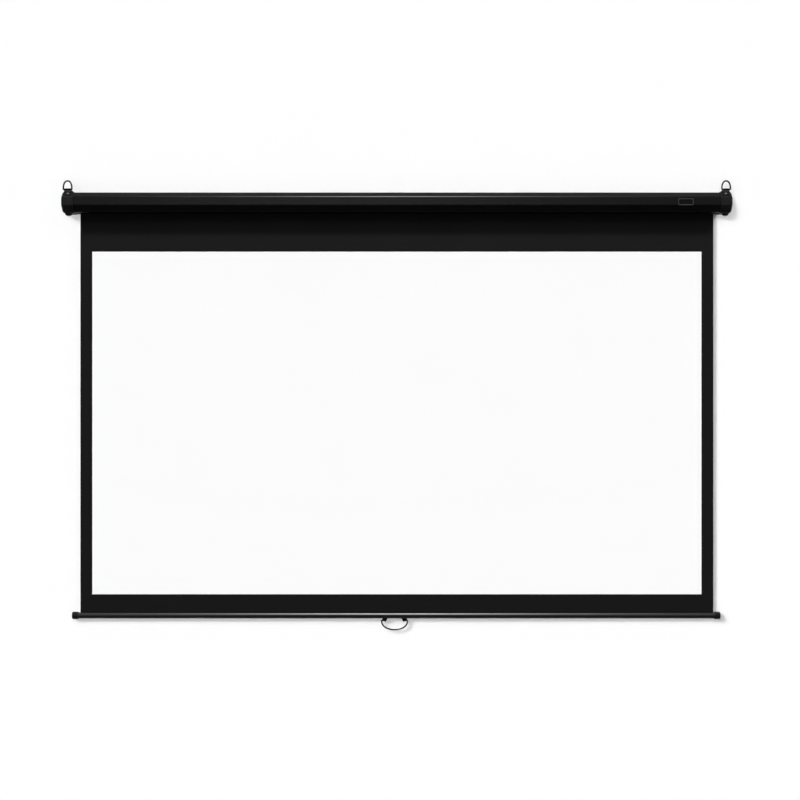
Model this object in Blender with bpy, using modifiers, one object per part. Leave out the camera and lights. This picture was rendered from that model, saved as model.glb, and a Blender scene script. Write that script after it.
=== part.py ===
"""Pull down projector screen: a case with a spring roller, a picture cloth, a weight bar and a handle.

Metres, +Z up, +X to the viewer's right, and the front faces -Y.
The origin is the centre of the case's flat back. The cloth is modelled fully down.
"""

import math

import bmesh
import bpy
from mathutils import Vector

# The gap between pieces that touch
FIT = 0.0003

# Picture cloth
IMAGE_WIDTH = 2.214
IMAGE_HEIGHT = 1.245
SIDE_BORDER = 0.043
LOWER_BORDER = 0.066
VISIBLE_DROP = 0.138
BACKING_THICKNESS = 0.0004
WHITE_THICKNESS = 0.0003
HEM_THICKNESS = 0.0008
HEM_RISE = 0.033

# Case section, seen from its end
CASE_HEIGHT = 0.072
CASE_DEPTH = 0.072
CASE_WALL = 0.001
UPPER_SLOPE = 0.018
LOWER_SLOPE_HEIGHT = 0.023
LOWER_SLOPE_DEPTH = 0.020
CASE_CORNER = 0.0022
CLOTH_SLOT = 0.016
CASE_MARGIN = 0.016

# End caps of the case
CAP_WALL = 0.0018
CAP_SIDE = 0.033
CAP_DOME = 0.013
CAP_DOME_INSET = 0.020
CAP_OVERLAP = 0.026
BOSS_OFFSET = 0.0225
BOSS_RADIUS = 0.013
BOSS_HEIGHT = 0.007
BOSS_TAPER = 0.006

# Hanging rings and the straps that hold them
RING_WIDTH = 0.0365
RING_HEIGHT = 0.0366
RING_WIRE = 0.004
RING_CORNER = 0.0035
RING_FULLNESS = 2.3
RING_RISE = 0.0122
RING_OFFSET = 0.026
STRAP_THICKNESS = 0.0018
STRAP_LOOP_WIDTH = 0.0235
STRAP_FOOT_WIDTH = 0.032
STRAP_CLEARANCE = 0.0004
STRAP_NECK_ANGLE = 50
STRAP_REAR_FOOT = 0.016
STRAP_SCREW_RISE = 0.019
STRAP_EDGE = 0.004

# Screws
SCREW_SHANK = 0.0015
SCREW_HEAD = 0.0042
SCREW_HEAD_HEIGHT = 0.0022
SCREW_HEAD_ROUND = 0.0014
SCREW_LENGTH = 0.0105
SCREW_HOLE_REACH = 0.021

# Badge plate, left blank
BADGE_WIDTH = 0.053
BADGE_HEIGHT = 0.0224
BADGE_THICKNESS = 0.0009
BADGE_FROM_END = 0.127
BADGE_EDGE = 0.0004

# Spring roller
ROLLER_FROM_BACK = 0.0365
ROLLER_RADIUS = 0.019
ROLLER_WALL = 0.0012
ROLLER_MARGIN = 0.004
WRAP_THICKNESS = 0.0012
PLUG_LENGTH = 0.034
FLANGE_THICKNESS = 0.004
FLANGE_RADIUS = 0.0205
ARBOR_RADIUS = 0.0045
ARBOR_LENGTH = 0.34
TANG_THICKNESS = 0.006
TANG_LENGTH = 0.016
GUDGEON_RADIUS = 0.004
GUDGEON_DEPTH = 0.024
BUSH_RADIUS = 0.009
BUSH_COLLAR = 0.0115
BUSH_COLLAR_THICKNESS = 0.0025
BUSH_LENGTH = 0.008
BRACKET_THICKNESS = 0.0025
BRACKET_REACH = 0.002

# Spring inside the roller
SPRING_RADIUS = 0.0095
SPRING_WIRE = 0.0022
SPRING_TURNS = 26
SPRING_POINTS = 8
COLLAR_LENGTH = 0.012
COLLAR_RADIUS = 0.0125
COLLAR_FROM_PLUG = 0.010
ANCHOR_LENGTH = 0.020

# Lock that holds the cloth at a chosen height
WHEEL_RADIUS = 0.010
WHEEL_FLOOR = 0.0074
WHEEL_NOTCHES = 6
WHEEL_THICKNESS = 0.005
NOTCH_ANGLE = 26
WHEEL_FROM_FLANGE = 0.003
PAWL_PIN_RADIUS = 0.0015
PAWL_PIN_DROP = 0.015
PAWL_PIN_SINK = 0.008
PAWL_HUB = 0.0032
PAWL_REACH = 0.0105
PAWL_ARM = 0.004
PAWL_NOSE_WIDTH = 0.003
PAWL_NOSE_HEIGHT = 0.005
PAWL_SWING = 30

# Weight bar
BAR_RADIUS = 0.011
BAR_WALL = 0.0012
BAR_SLOT = 0.003
BAR_MARGIN = 0.005
BAR_OFFSET = -0.0025
BAR_CAP_RADIUS = 0.01275
BAR_CAP_LENGTH = 0.0215
BAR_CAP_SOCKET = 0.013
BAR_CAP_ROUND = 0.003
ROD_RADIUS = 0.003
HEM_MOUTH_ANGLE = 30

# Pull handle
HANDLE_OFFSET = -0.0085
HANDLE_WIDTH = 0.099
HANDLE_DROP = 0.047
HANDLE_WIRE = 0.0035
HANDLE_BEND = 0.00275
HANDLE_SINK = 0.0075
HANDLE_FULLNESS = 2.4
PIVOT_DROP = 0.0055
PIVOT_CLEARANCE = 0.0004
LUG_WIDTH = 0.021
LUG_LOWER_WIDTH = 0.014
LUG_DEPTH = 0.014
LUG_LOWER_DEPTH = 0.008
LUG_HEIGHT = 0.010
LUG_SCREW_HEAD = 0.0028
LUG_SCREW_FROM_INNER_END = 0.0103
LUG_SCREW_HOLE_SPARE = 0.0045

# Smoothness of round shapes
TURN_STEPS = 24
SMALL_STEPS = 12
BEND_STEPS = 3
STRAP_LOOP_STEPS = 10
RING_BOW_STEPS = 18
HANDLE_BOW_STEPS = 20
HEM_LOOP_STEPS = 12
SADDLE_STEPS = 6
DOME_STEPS = 5

# Places that follow from the sizes
CLOTH_WIDTH = IMAGE_WIDTH + 2 * SIDE_BORDER
CLOTH_EDGE = CLOTH_WIDTH / 2
CASE_TOP = CASE_HEIGHT / 2
CASE_BOTTOM = -CASE_HEIGHT / 2
CAP_MOUTH = CLOTH_EDGE + CASE_MARGIN
CASE_END = CAP_MOUTH + CAP_OVERLAP
CAP_GROWTH = FIT + CAP_WALL
CAP_END = CAP_MOUTH + CAP_SIDE + CAP_DOME
IMAGE_TOP = CASE_BOTTOM - VISIBLE_DROP
IMAGE_BOTTOM = IMAGE_TOP - IMAGE_HEIGHT
BAR_TOP = IMAGE_BOTTOM - LOWER_BORDER
BAR_Z = BAR_TOP - BAR_RADIUS
HEM_TOP = BAR_TOP + HEM_RISE
ROLLER_Y = -ROLLER_FROM_BACK
ROLLER_Z = 0.0
ROLLER_END = CLOTH_EDGE + ROLLER_MARGIN
WRAP_INNER = ROLLER_RADIUS + FIT
WRAP_OUTER = WRAP_INNER + WRAP_THICKNESS
CLOTH_FRONT = ROLLER_Y + WRAP_OUTER + FIT
CLOTH_Y = CLOTH_FRONT + BACKING_THICKNESS / 2
FLANGE_END = ROLLER_END + FIT + FLANGE_THICKNESS
BRACKET_X = CASE_END + FIT
BRACKET_OUTER = BRACKET_X + BRACKET_THICKNESS
RING_X = CAP_MOUTH + RING_OFFSET
RING_Y = -CASE_DEPTH / 2
RING_Z = CASE_TOP + RING_RISE
FOOT_INNER = CAP_MOUTH + STRAP_EDGE / 2
FOOT_OUTER = FOOT_INNER + STRAP_FOOT_WIDTH
SCREW_X = (FOOT_INNER + FOOT_OUTER) / 2
BOSS_X = CAP_MOUTH + BOSS_OFFSET
PIVOT_Z = BAR_Z - BAR_RADIUS - PIVOT_DROP
LUG_OUTER = HANDLE_WIDTH / 2 - HANDLE_WIRE / 2 - HANDLE_BEND - FIT
LUG_INNER = LUG_OUTER - LUG_WIDTH
LUG_SCREW_X = LUG_INNER + LUG_SCREW_FROM_INNER_END
LUG_BOTTOM = BAR_Z - BAR_RADIUS - LUG_HEIGHT
SIDES = (("left", -1), ("right", 1))


def start_scene():
    """An empty scene with one collection for the screen and one for its cutters."""
    for thing in list(bpy.data.objects):
        bpy.data.objects.remove(thing)
    made = []
    for name in ("pull_down_projector_screen", "cutters"):
        group = bpy.data.collections.new(name)
        bpy.context.scene.collection.children.link(group)
        made.append(group)
    return made


PARTS, CUTTERS = start_scene()


def finish(name, colour, roughness, metallic=0.0):
    """A plain material for one sub-part."""
    material = bpy.data.materials.new(name)
    material.use_nodes = True
    shader = material.node_tree.nodes["Principled BSDF"]
    shader.inputs["Base Color"].default_value = (*colour, 1.0)
    shader.inputs["Roughness"].default_value = roughness
    shader.inputs["Metallic"].default_value = metallic
    material.diffuse_color = (*colour, 1.0)
    return material


def painted_steel(name):
    return finish(name, (0.012, 0.012, 0.012), 0.38)


def black_plastic(name):
    return finish(name, (0.010, 0.010, 0.010), 0.45)


def black_wire(name):
    return finish(name, (0.020, 0.020, 0.020), 0.35, 0.6)


def zinc_steel(name):
    return finish(name, (0.55, 0.55, 0.56), 0.40, 1.0)


def place(thing, group=None):
    """Put an object in the screen's collection, or in another."""
    (group or PARTS).objects.link(thing)
    return thing


def made_mesh(name, bm, material):
    """A new object from a bmesh."""
    mesh = bpy.data.meshes.new(name)
    bm.to_mesh(mesh)
    bm.free()
    if material:
        mesh.materials.append(material)
    return place(bpy.data.objects.new(name, mesh))


def smooth(thing, angle=35):
    """Smooth shading that keeps edges sharper than the angle."""
    thing.data.shade_smooth()
    thing.data.set_sharp_from_angle(angle=math.radians(angle))


def cut(target, cutter):
    """Take the cutter's shape out of the target."""
    boolean = target.modifiers.new("cut_" + cutter.name, "BOOLEAN")
    boolean.operation = "DIFFERENCE"
    boolean.solver = "EXACT"
    boolean.object = cutter


def join(target, added):
    """Join a helper's shape to the target."""
    boolean = target.modifiers.new("join_" + added.name, "BOOLEAN")
    boolean.operation = "UNION"
    boolean.solver = "EXACT"
    boolean.object = added


def as_cutter(thing):
    """Move an object to the cutters' collection and hide it from the build."""
    PARTS.objects.unlink(thing)
    CUTTERS.objects.link(thing)
    thing.hide_render = True
    thing.display_type = "WIRE"
    return thing


def grown(outline, by):
    """A closed outline moved outwards by a distance, with its corners kept sharp."""
    moved = []
    for i, corner in enumerate(outline):
        before = (corner - outline[i - 1]).normalized()
        after = (outline[(i + 1) % len(outline)] - corner).normalized()
        outward = Vector((before.y, -before.x)) + Vector((after.y, -after.x))
        outward.normalize()
        reach = by / outward.dot(Vector((before.y, -before.x)))
        moved.append(corner + outward * reach)
    return moved


def fillet(before, corner, after, radius, steps=BEND_STEPS):
    """The points of a round corner between two straight runs."""
    back = (before - corner).normalized()
    ahead = (after - corner).normalized()
    half = back.angle(ahead) / 2
    run = radius / math.tan(half)
    centre = corner + (back + ahead).normalized() * (radius / math.sin(half))
    first = corner + back * run - centre
    last = corner + ahead * run - centre
    turn = first.angle_signed(last)
    points = []
    for i in range(steps + 1):
        spin = -turn * i / steps
        x = first.x * math.cos(spin) - first.y * math.sin(spin)
        y = first.x * math.sin(spin) + first.y * math.cos(spin)
        points.append(centre + Vector((x, y)))
    return points


def rounded_ring(outline, radius):
    """A closed outline with every corner rounded."""
    points = []
    for i, corner in enumerate(outline):
        points += fillet(outline[i - 1], corner, outline[(i + 1) % len(outline)], radius)
    return points


def rounded_path(path, radius):
    """An open path with its inner corners rounded."""
    points = [path[0]]
    for before, corner, after in zip(path, path[1:], path[2:]):
        points += fillet(before, corner, after, radius)
    return points + [path[-1]]


def case_outline(back=0.0):
    """The case's outer section as (y, z) corners, from the back's lower edge round to the front."""
    return [
        Vector((back, CASE_BOTTOM)),
        Vector((back, CASE_TOP)),
        Vector((UPPER_SLOPE - CASE_DEPTH, CASE_TOP)),
        Vector((-CASE_DEPTH, CASE_TOP - UPPER_SLOPE)),
        Vector((-CASE_DEPTH, CASE_BOTTOM + LOWER_SLOPE_HEIGHT)),
        Vector((LOWER_SLOPE_DEPTH - CASE_DEPTH, CASE_BOTTOM)),
    ]


def ribbon(name, path, left, right, thickness, material, grow=-1.0):
    """Sheet that follows a path of (y, z) points. left and right give its x at each point.

    As seen from +X the sheet's face is on the right of the path, and grow -1 thickens it to the left.
    """
    bm = bmesh.new()
    start = [bm.verts.new((x, y, z)) for x, (y, z) in zip(left, path)]
    edges = [bm.edges.new(pair) for pair in zip(start, start[1:])]
    result = bmesh.ops.extrude_edge_only(bm, edges=edges)
    ends = {(round(y, 7), round(z, 7)): x for x, (y, z) in zip(right, path)}
    for item in result["geom"]:
        if isinstance(item, bmesh.types.BMVert):
            item.co.x = ends[(round(item.co.y, 7), round(item.co.z, 7))]
    bmesh.ops.recalc_face_normals(bm, faces=bm.faces[:])
    run = path[1] - path[0]
    if edges[0].link_faces[0].normal.dot(Vector((0, run.y, -run.x))) < 0:
        bmesh.ops.reverse_faces(bm, faces=bm.faces[:])
    thing = made_mesh(name, bm, material)
    wall = thing.modifiers.new("wall", "SOLIDIFY")
    wall.thickness = thickness
    wall.offset = grow
    wall.use_even_offset = True
    return thing


def straight_ribbon(name, path, low, high, thickness, material, grow=-1.0):
    """A ribbon of the same width all along."""
    return ribbon(name, path, [low] * len(path), [high] * len(path), thickness, material, grow)


def turned(name, profile, centre, material, steps=TURN_STEPS, along=(1, 0, 0)):
    """A shape turned about an axis through centre. The profile holds (radius, distance) points.

    It starts at the far end, runs down the outer side and, on a hollow piece, back up the bore.
    """
    bm = bmesh.new()
    points = [bm.verts.new((radius, 0, distance)) for radius, distance in profile]
    for pair in zip(points, points[1:]):
        bm.edges.new(pair)
    hollow = profile[0][0] > 0
    if hollow:
        bm.edges.new((points[-1], points[0]))
    thing = made_mesh(name, bm, material)
    spin = thing.modifiers.new("turn", "SCREW")
    spin.axis = "Z"
    spin.steps = steps
    spin.render_steps = steps
    spin.use_smooth_shade = False
    spin.use_merge_vertices = not hollow
    spin.merge_threshold = 0.00005
    thing.rotation_mode = "QUATERNION"
    thing.rotation_quaternion = Vector(along).to_track_quat("Z", "Y")
    thing.location = centre
    return thing


def wire(name, points, thickness, material, cyclic=False, resolution=2):
    """A round wire through points."""
    curve = bpy.data.curves.new(name, "CURVE")
    curve.dimensions = "3D"
    curve.bevel_depth = thickness / 2
    curve.bevel_resolution = resolution
    curve.use_fill_caps = not cyclic
    spline = curve.splines.new("POLY")
    spline.points.add(len(points) - 1)
    for point, place_at in zip(spline.points, points):
        point.co = (*place_at, 1.0)
    spline.use_cyclic_u = cyclic
    curve.materials.append(material)
    return place(bpy.data.objects.new(name, curve))


def plate(name, outlines, x, thickness, material):
    """A flat plate square to X, from an outline of (y, z) points and its holes."""
    curve = bpy.data.curves.new(name + "_outline", "CURVE")
    curve.dimensions = "2D"
    curve.fill_mode = "BOTH"
    curve.extrude = thickness / 2
    for outline in outlines:
        spline = curve.splines.new("POLY")
        spline.points.add(len(outline) - 1)
        for point, (y, z) in zip(spline.points, outline):
            point.co = (y, z, 0.0, 1.0)
        spline.use_cyclic_u = True
    flat = place(bpy.data.objects.new(name + "_outline", curve))
    shown = flat.evaluated_get(bpy.context.evaluated_depsgraph_get())
    mesh = bpy.data.meshes.new_from_object(shown)
    bpy.data.objects.remove(flat)
    bm = bmesh.new()
    bm.from_mesh(mesh)
    bmesh.ops.remove_doubles(bm, verts=bm.verts, dist=0.00001)
    bm.to_mesh(mesh)
    bm.free()
    mesh.name = name
    mesh.materials.clear()
    mesh.materials.append(material)
    thing = place(bpy.data.objects.new(name, mesh))
    thing.rotation_euler = (math.pi / 2, 0.0, math.pi / 2)
    thing.location = (x, 0.0, 0.0)
    return thing


def box(name, low, high, material, edge=0.0):
    """A block between two corners, with its edges rounded if asked."""
    bm = bmesh.new()
    bmesh.ops.create_cube(bm, size=1.0)
    size = [b - a for a, b in zip(low, high)]
    bmesh.ops.scale(bm, vec=size, verts=bm.verts)
    thing = made_mesh(name, bm, material)
    thing.location = [(a + b) / 2 for a, b in zip(low, high)]
    if edge:
        bevel = thing.modifiers.new("edge", "BEVEL")
        bevel.width = edge
        bevel.segments = 2
        bevel.limit_method = "ANGLE"
    return thing


def circle(centre_y, centre_z, radius, steps):
    """The (y, z) points of a circle."""
    turns = [2 * math.pi * i / steps for i in range(steps)]
    return [(centre_y + radius * math.cos(t), centre_z + radius * math.sin(t)) for t in turns]


def drill(name, centre, along, radius, length, steps=SMALL_STEPS):
    """A round cutter that starts at centre and runs both ways by half its length."""
    profile = [(0, length / 2), (radius, length / 2), (radius, -length / 2), (0, -length / 2)]
    return as_cutter(turned(name, profile, centre, None, steps, along))


def arch(half_width, height, fullness, steps):
    """The points of a full half oval from +x over the top to -x."""
    points = []
    for i in range(1, steps):
        t = math.pi * i / steps
        across = math.copysign(abs(math.cos(t)) ** (2 / fullness), math.cos(t))
        points.append((half_width * across, height * math.sin(t) ** (2 / fullness)))
    return points


def build_case():
    """The case: one folded sheet with a slot under the cloth."""
    corners = case_outline()
    slot_back = Vector((CLOTH_Y + CLOTH_SLOT / 2, CASE_BOTTOM))
    slot_front = Vector((CLOTH_Y - CLOTH_SLOT / 2, CASE_BOTTOM))
    path = rounded_path([slot_back, *corners, slot_front], CASE_CORNER)
    case = straight_ribbon(
        "case_housing", path, -CASE_END, CASE_END, CASE_WALL, painted_steel("case_paint")
    )
    for side, sign in SIDES:
        near = sign * (CAP_MOUTH - FIT)
        far = sign * (CASE_END + CASE_WALL)
        recess = box(
            f"{side}_back_recess",
            (min(near, far), -CAP_GROWTH - CASE_CORNER, CASE_BOTTOM - CASE_WALL),
            (max(near, far), CASE_WALL, CASE_TOP + CASE_WALL),
            None,
        )
        cut(case, as_cutter(recess))
    smooth(case)
    return case


def build_end_cap(side, sign):
    """A moulded cap: straight sides, a domed outer end and a screw boss below.

    Its back lies in the plane of the case's back, which stops short of it.
    """
    sections = [(CAP_MOUTH, 0.0)]
    for i in range(DOME_STEPS + 1):
        turn = math.radians(90 * i / DOME_STEPS)
        at = CAP_MOUTH + CAP_SIDE + CAP_DOME * math.sin(turn)
        sections.append((at, CAP_DOME_INSET * (1 - math.cos(turn))))
    bm = bmesh.new()
    edges = []
    for number, (x, inset) in enumerate(sections):
        ring = rounded_ring(grown(case_outline(-CAP_GROWTH), CAP_GROWTH - inset), CASE_CORNER + CAP_GROWTH)
        verts = [bm.verts.new((sign * x, y, z)) for y, z in ring]
        loop = [bm.edges.new((verts[i - 1], verts[i])) for i in range(len(verts))]
        if number:
            bmesh.ops.bridge_loops(bm, edges=edges + loop)
        edges = loop
    bmesh.ops.contextual_create(bm, geom=edges)
    bmesh.ops.recalc_face_normals(bm, faces=bm.faces)
    bm.faces.ensure_lookup_table()
    end_face = max(bm.faces, key=lambda face: sign * face.calc_center_median().x)
    if end_face.normal.x * sign < 0:
        bmesh.ops.reverse_faces(bm, faces=bm.faces[:])
    cap = made_mesh(f"{side}_end_cap", bm, black_plastic(f"{side}_cap_plastic"))
    wall = cap.modifiers.new("wall", "SOLIDIFY")
    wall.thickness = CAP_WALL
    wall.offset = -1.0
    wall.use_even_offset = True
    smooth(cap)
    boss_top = CASE_BOTTOM - FIT - CAP_WALL / 2
    boss_end = CASE_BOTTOM - CAP_GROWTH - BOSS_HEIGHT
    profile = [
        (0, 0),
        (BOSS_RADIUS - BOSS_TAPER, 0),
        (BOSS_RADIUS, -BOSS_HEIGHT),
        (BOSS_RADIUS, boss_end - boss_top),
        (0, boss_end - boss_top),
    ]
    boss = turned(
        f"{side}_boss_shape", profile, (sign * BOSS_X, RING_Y, boss_end), None, TURN_STEPS, (0, 0, -1)
    )
    join(cap, as_cutter(boss))
    return cap


def strap_path():
    """The strap's centre line as (y, z) points, and whether each point is on a foot."""
    level = CAP_GROWTH + FIT + STRAP_THICKNESS / 2
    outline = grown(case_outline(), level)
    ridge, shoulder = outline[3], outline[2]
    slope = (shoulder - ridge).normalized()
    loop_radius = RING_WIRE / 2 + STRAP_CLEARANCE + STRAP_THICKNESS / 2
    loop = []
    sweep = 360 - 2 * (90 - STRAP_NECK_ANGLE)
    for i in range(STRAP_LOOP_STEPS + 1):
        turn = math.radians(180 + STRAP_NECK_ANGLE - sweep * i / STRAP_LOOP_STEPS)
        loop.append(Vector((RING_Y + loop_radius * math.cos(turn), RING_Z + loop_radius * math.sin(turn))))
    mirrored = 2 * RING_Y - shoulder.x
    front = [ridge + slope * STRAP_EDGE, shoulder]
    rear = [Vector((mirrored, shoulder.y)), Vector((mirrored + STRAP_REAR_FOOT, shoulder.y))]
    path = rear[::-1] + loop[::-1] + front[::-1]
    on_foot = [True] * 2 + [False] * len(loop) + [True] * 2
    return path, on_foot


def build_strap(side, sign):
    """The steel strap that is screwed over the cap and curls round the ring's bar."""
    path, on_foot = strap_path()
    half = STRAP_LOOP_WIDTH / 2
    inner = [FOOT_INNER if foot else RING_X - half for foot in on_foot]
    outer = [FOOT_OUTER if foot else RING_X + half for foot in on_foot]
    left, right = (inner, outer) if sign > 0 else ([-x for x in outer], [-x for x in inner])
    material = painted_steel(f"{side}_strap_paint")
    return ribbon(f"{side}_hanger_strap", path, left, right, STRAP_THICKNESS, material, grow=0.0)


def build_ring(side, sign):
    """A D-shaped ring: a straight bar in the strap and a tall round bow."""
    half = (RING_WIDTH - RING_WIRE) / 2
    rise = RING_HEIGHT - RING_WIRE - RING_CORNER
    bow = [(x, RING_CORNER + z) for x, z in arch(half, rise, RING_FULLNESS, RING_BOW_STEPS)]
    corner = [math.radians(90 * i / BEND_STEPS) for i in range(BEND_STEPS + 1)]
    low_right = [
        (half - RING_CORNER + RING_CORNER * math.sin(t), RING_CORNER - RING_CORNER * math.cos(t))
        for t in corner
    ]
    low_left = [(-x, z) for x, z in reversed(low_right)]
    outline = low_right + bow + low_left
    points = [(sign * RING_X + x, RING_Y, RING_Z + z) for x, z in outline]
    return wire(f"{side}_hanging_ring", points, RING_WIRE, black_wire(f"{side}_ring_wire"), True)


def build_screw(name, head_seat, along, head=SCREW_HEAD, length=SCREW_LENGTH):
    """A pan head screw whose head rests on head_seat and whose shank runs against along."""
    profile = [
        (0, SCREW_HEAD_HEIGHT),
        (head - SCREW_HEAD_ROUND, SCREW_HEAD_HEIGHT - SCREW_HEAD_ROUND / 4),
        (head, SCREW_HEAD_HEIGHT - SCREW_HEAD_ROUND),
        (head, 0),
        (SCREW_SHANK, 0),
        (SCREW_SHANK, -length),
        (0, -length - SCREW_SHANK),
    ]
    seat = Vector(head_seat) + Vector(along) * FIT
    return turned(name, profile, seat, zinc_steel(name + "_steel"), SMALL_STEPS, along)


def build_hanging_gear(case, caps):
    """Straps, rings and the screws that hold strap, cap and case together."""
    outline = grown(case_outline(), CAP_GROWTH + FIT + STRAP_THICKNESS)
    ridge, shoulder = outline[3], outline[2]
    slope = (shoulder - ridge).normalized()
    on_slope = ridge + slope * (STRAP_EDGE + STRAP_SCREW_RISE / 2)
    rear_y = 2 * RING_Y - shoulder.x + STRAP_REAR_FOOT / 2
    slope_out = Vector((0, -slope.y, slope.x))
    for side, sign in SIDES:
        cap = caps[side]
        strap = build_strap(side, sign)
        ring = build_ring(side, sign)
        hinge(f"{side}_ring_axis", (sign * RING_X, RING_Y, RING_Z), [ring])
        seats = {
            "front": (Vector((sign * SCREW_X, *on_slope)), slope_out, (strap, cap, case)),
            "rear": (Vector((sign * SCREW_X, rear_y, shoulder.y)), Vector((0, 0, 1)), (strap, cap, case)),
            "lower": (
                Vector((sign * BOSS_X, RING_Y, CASE_BOTTOM - CAP_GROWTH - BOSS_HEIGHT)),
                Vector((0, 0, -1)),
                (cap, case),
            ),
        }
        for place_name, (seat, along, drilled) in seats.items():
            hole = drill(
                f"{side}_{place_name}_screw_hole", seat, along, SCREW_SHANK + FIT, 2 * SCREW_HOLE_REACH
            )
            for piece in drilled:
                cut(piece, hole)
            build_screw(f"{side}_{place_name}_screw", seat, along)


def build_badge():
    """A blank plate on the front of the case, near its right end."""
    middle = CAP_MOUTH - BADGE_FROM_END
    front = -CASE_DEPTH - FIT
    low = CASE_BOTTOM + LOWER_SLOPE_HEIGHT + CASE_CORNER / 2
    box(
        "badge_plate",
        (middle - BADGE_WIDTH / 2, front - BADGE_THICKNESS, low),
        (middle + BADGE_WIDTH / 2, front, low + BADGE_HEIGHT),
        finish("badge_black", (0.004, 0.004, 0.004), 0.2),
        BADGE_EDGE,
    )


def build_brackets():
    """Steel plates inside the caps that carry the roller: a slot at the left, a bush at the right."""
    outline = rounded_ring(case_outline(-CAP_GROWTH), CASE_CORNER)
    half_slot = TANG_THICKNESS / 2 + FIT
    half_wide = ARBOR_RADIUS + FIT
    slot = [
        (ROLLER_Y - half_wide, ROLLER_Z - half_slot),
        (ROLLER_Y + half_wide, ROLLER_Z - half_slot),
        (ROLLER_Y + half_wide, ROLLER_Z + half_slot),
        (ROLLER_Y - half_wide, ROLLER_Z + half_slot),
    ]
    hole = circle(ROLLER_Y, ROLLER_Z, BUSH_RADIUS + FIT, TURN_STEPS)
    middle = BRACKET_X + BRACKET_THICKNESS / 2
    plate("left_bracket", [outline, slot], -middle, BRACKET_THICKNESS, zinc_steel("left_bracket_steel"))
    plate("right_bracket", [outline, hole], middle, BRACKET_THICKNESS, zinc_steel("right_bracket_steel"))


def build_bush():
    """The plastic bush in the right bracket, with a collar on the roller's side."""
    inner = BRACKET_X - FIT - BUSH_COLLAR_THICKNESS
    bore = GUDGEON_RADIUS + FIT
    profile = [
        (bore, inner + BUSH_LENGTH),
        (BUSH_RADIUS, inner + BUSH_LENGTH),
        (BUSH_RADIUS, inner + BUSH_COLLAR_THICKNESS),
        (BUSH_COLLAR, inner + BUSH_COLLAR_THICKNESS),
        (BUSH_COLLAR, inner),
        (bore, inner),
    ]
    white = finish("bush_nylon", (0.75, 0.74, 0.70), 0.5)
    return turned("bearing_bush", profile, (0, ROLLER_Y, ROLLER_Z), white)


def build_roller():
    """The roller's tube, its turns of cloth and its end plugs."""
    centre = (0, ROLLER_Y, ROLLER_Z)
    bore = ROLLER_RADIUS - ROLLER_WALL
    tube = turned(
        "roller_tube",
        [(ROLLER_RADIUS, ROLLER_END), (ROLLER_RADIUS, -ROLLER_END), (bore, -ROLLER_END), (bore, ROLLER_END)],
        centre,
        zinc_steel("roller_steel"),
    )
    wraps = turned(
        "wound_cloth",
        [
            (WRAP_OUTER, CLOTH_EDGE),
            (WRAP_OUTER, -CLOTH_EDGE),
            (WRAP_INNER, -CLOTH_EDGE),
            (WRAP_INNER, CLOTH_EDGE),
        ],
        centre,
        finish("wound_cloth_black", (0.012, 0.012, 0.012), 0.85),
    )
    body = bore - FIT
    inner = ROLLER_END - PLUG_LENGTH
    lock_bore = ARBOR_RADIUS + FIT
    lock_plug = turned(
        "lock_plug",
        [
            (lock_bore, -inner),
            (body, -inner),
            (body, -ROLLER_END - FIT),
            (FLANGE_RADIUS, -ROLLER_END - FIT),
            (FLANGE_RADIUS, -FLANGE_END),
            (lock_bore, -FLANGE_END),
        ],
        centre,
        black_plastic("lock_plug_plastic"),
    )
    idle_plug = turned(
        "idle_plug",
        [
            (0, FLANGE_END - GUDGEON_DEPTH - FIT),
            (GUDGEON_RADIUS + FIT, FLANGE_END - GUDGEON_DEPTH - FIT),
            (GUDGEON_RADIUS + FIT, FLANGE_END),
            (FLANGE_RADIUS, FLANGE_END),
            (FLANGE_RADIUS, ROLLER_END + FIT),
            (body, ROLLER_END + FIT),
            (body, inner),
            (0, inner),
        ],
        centre,
        black_plastic("idle_plug_plastic"),
    )
    tip = BRACKET_OUTER + BUSH_LENGTH / 2
    gudgeon = turned(
        "gudgeon_pin",
        [
            (0, tip),
            (GUDGEON_RADIUS, tip),
            (GUDGEON_RADIUS, FLANGE_END - GUDGEON_DEPTH),
            (0, FLANGE_END - GUDGEON_DEPTH),
        ],
        centre,
        zinc_steel("gudgeon_steel"),
    )
    return [tube, wraps, lock_plug, idle_plug, gudgeon], lock_plug


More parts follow.
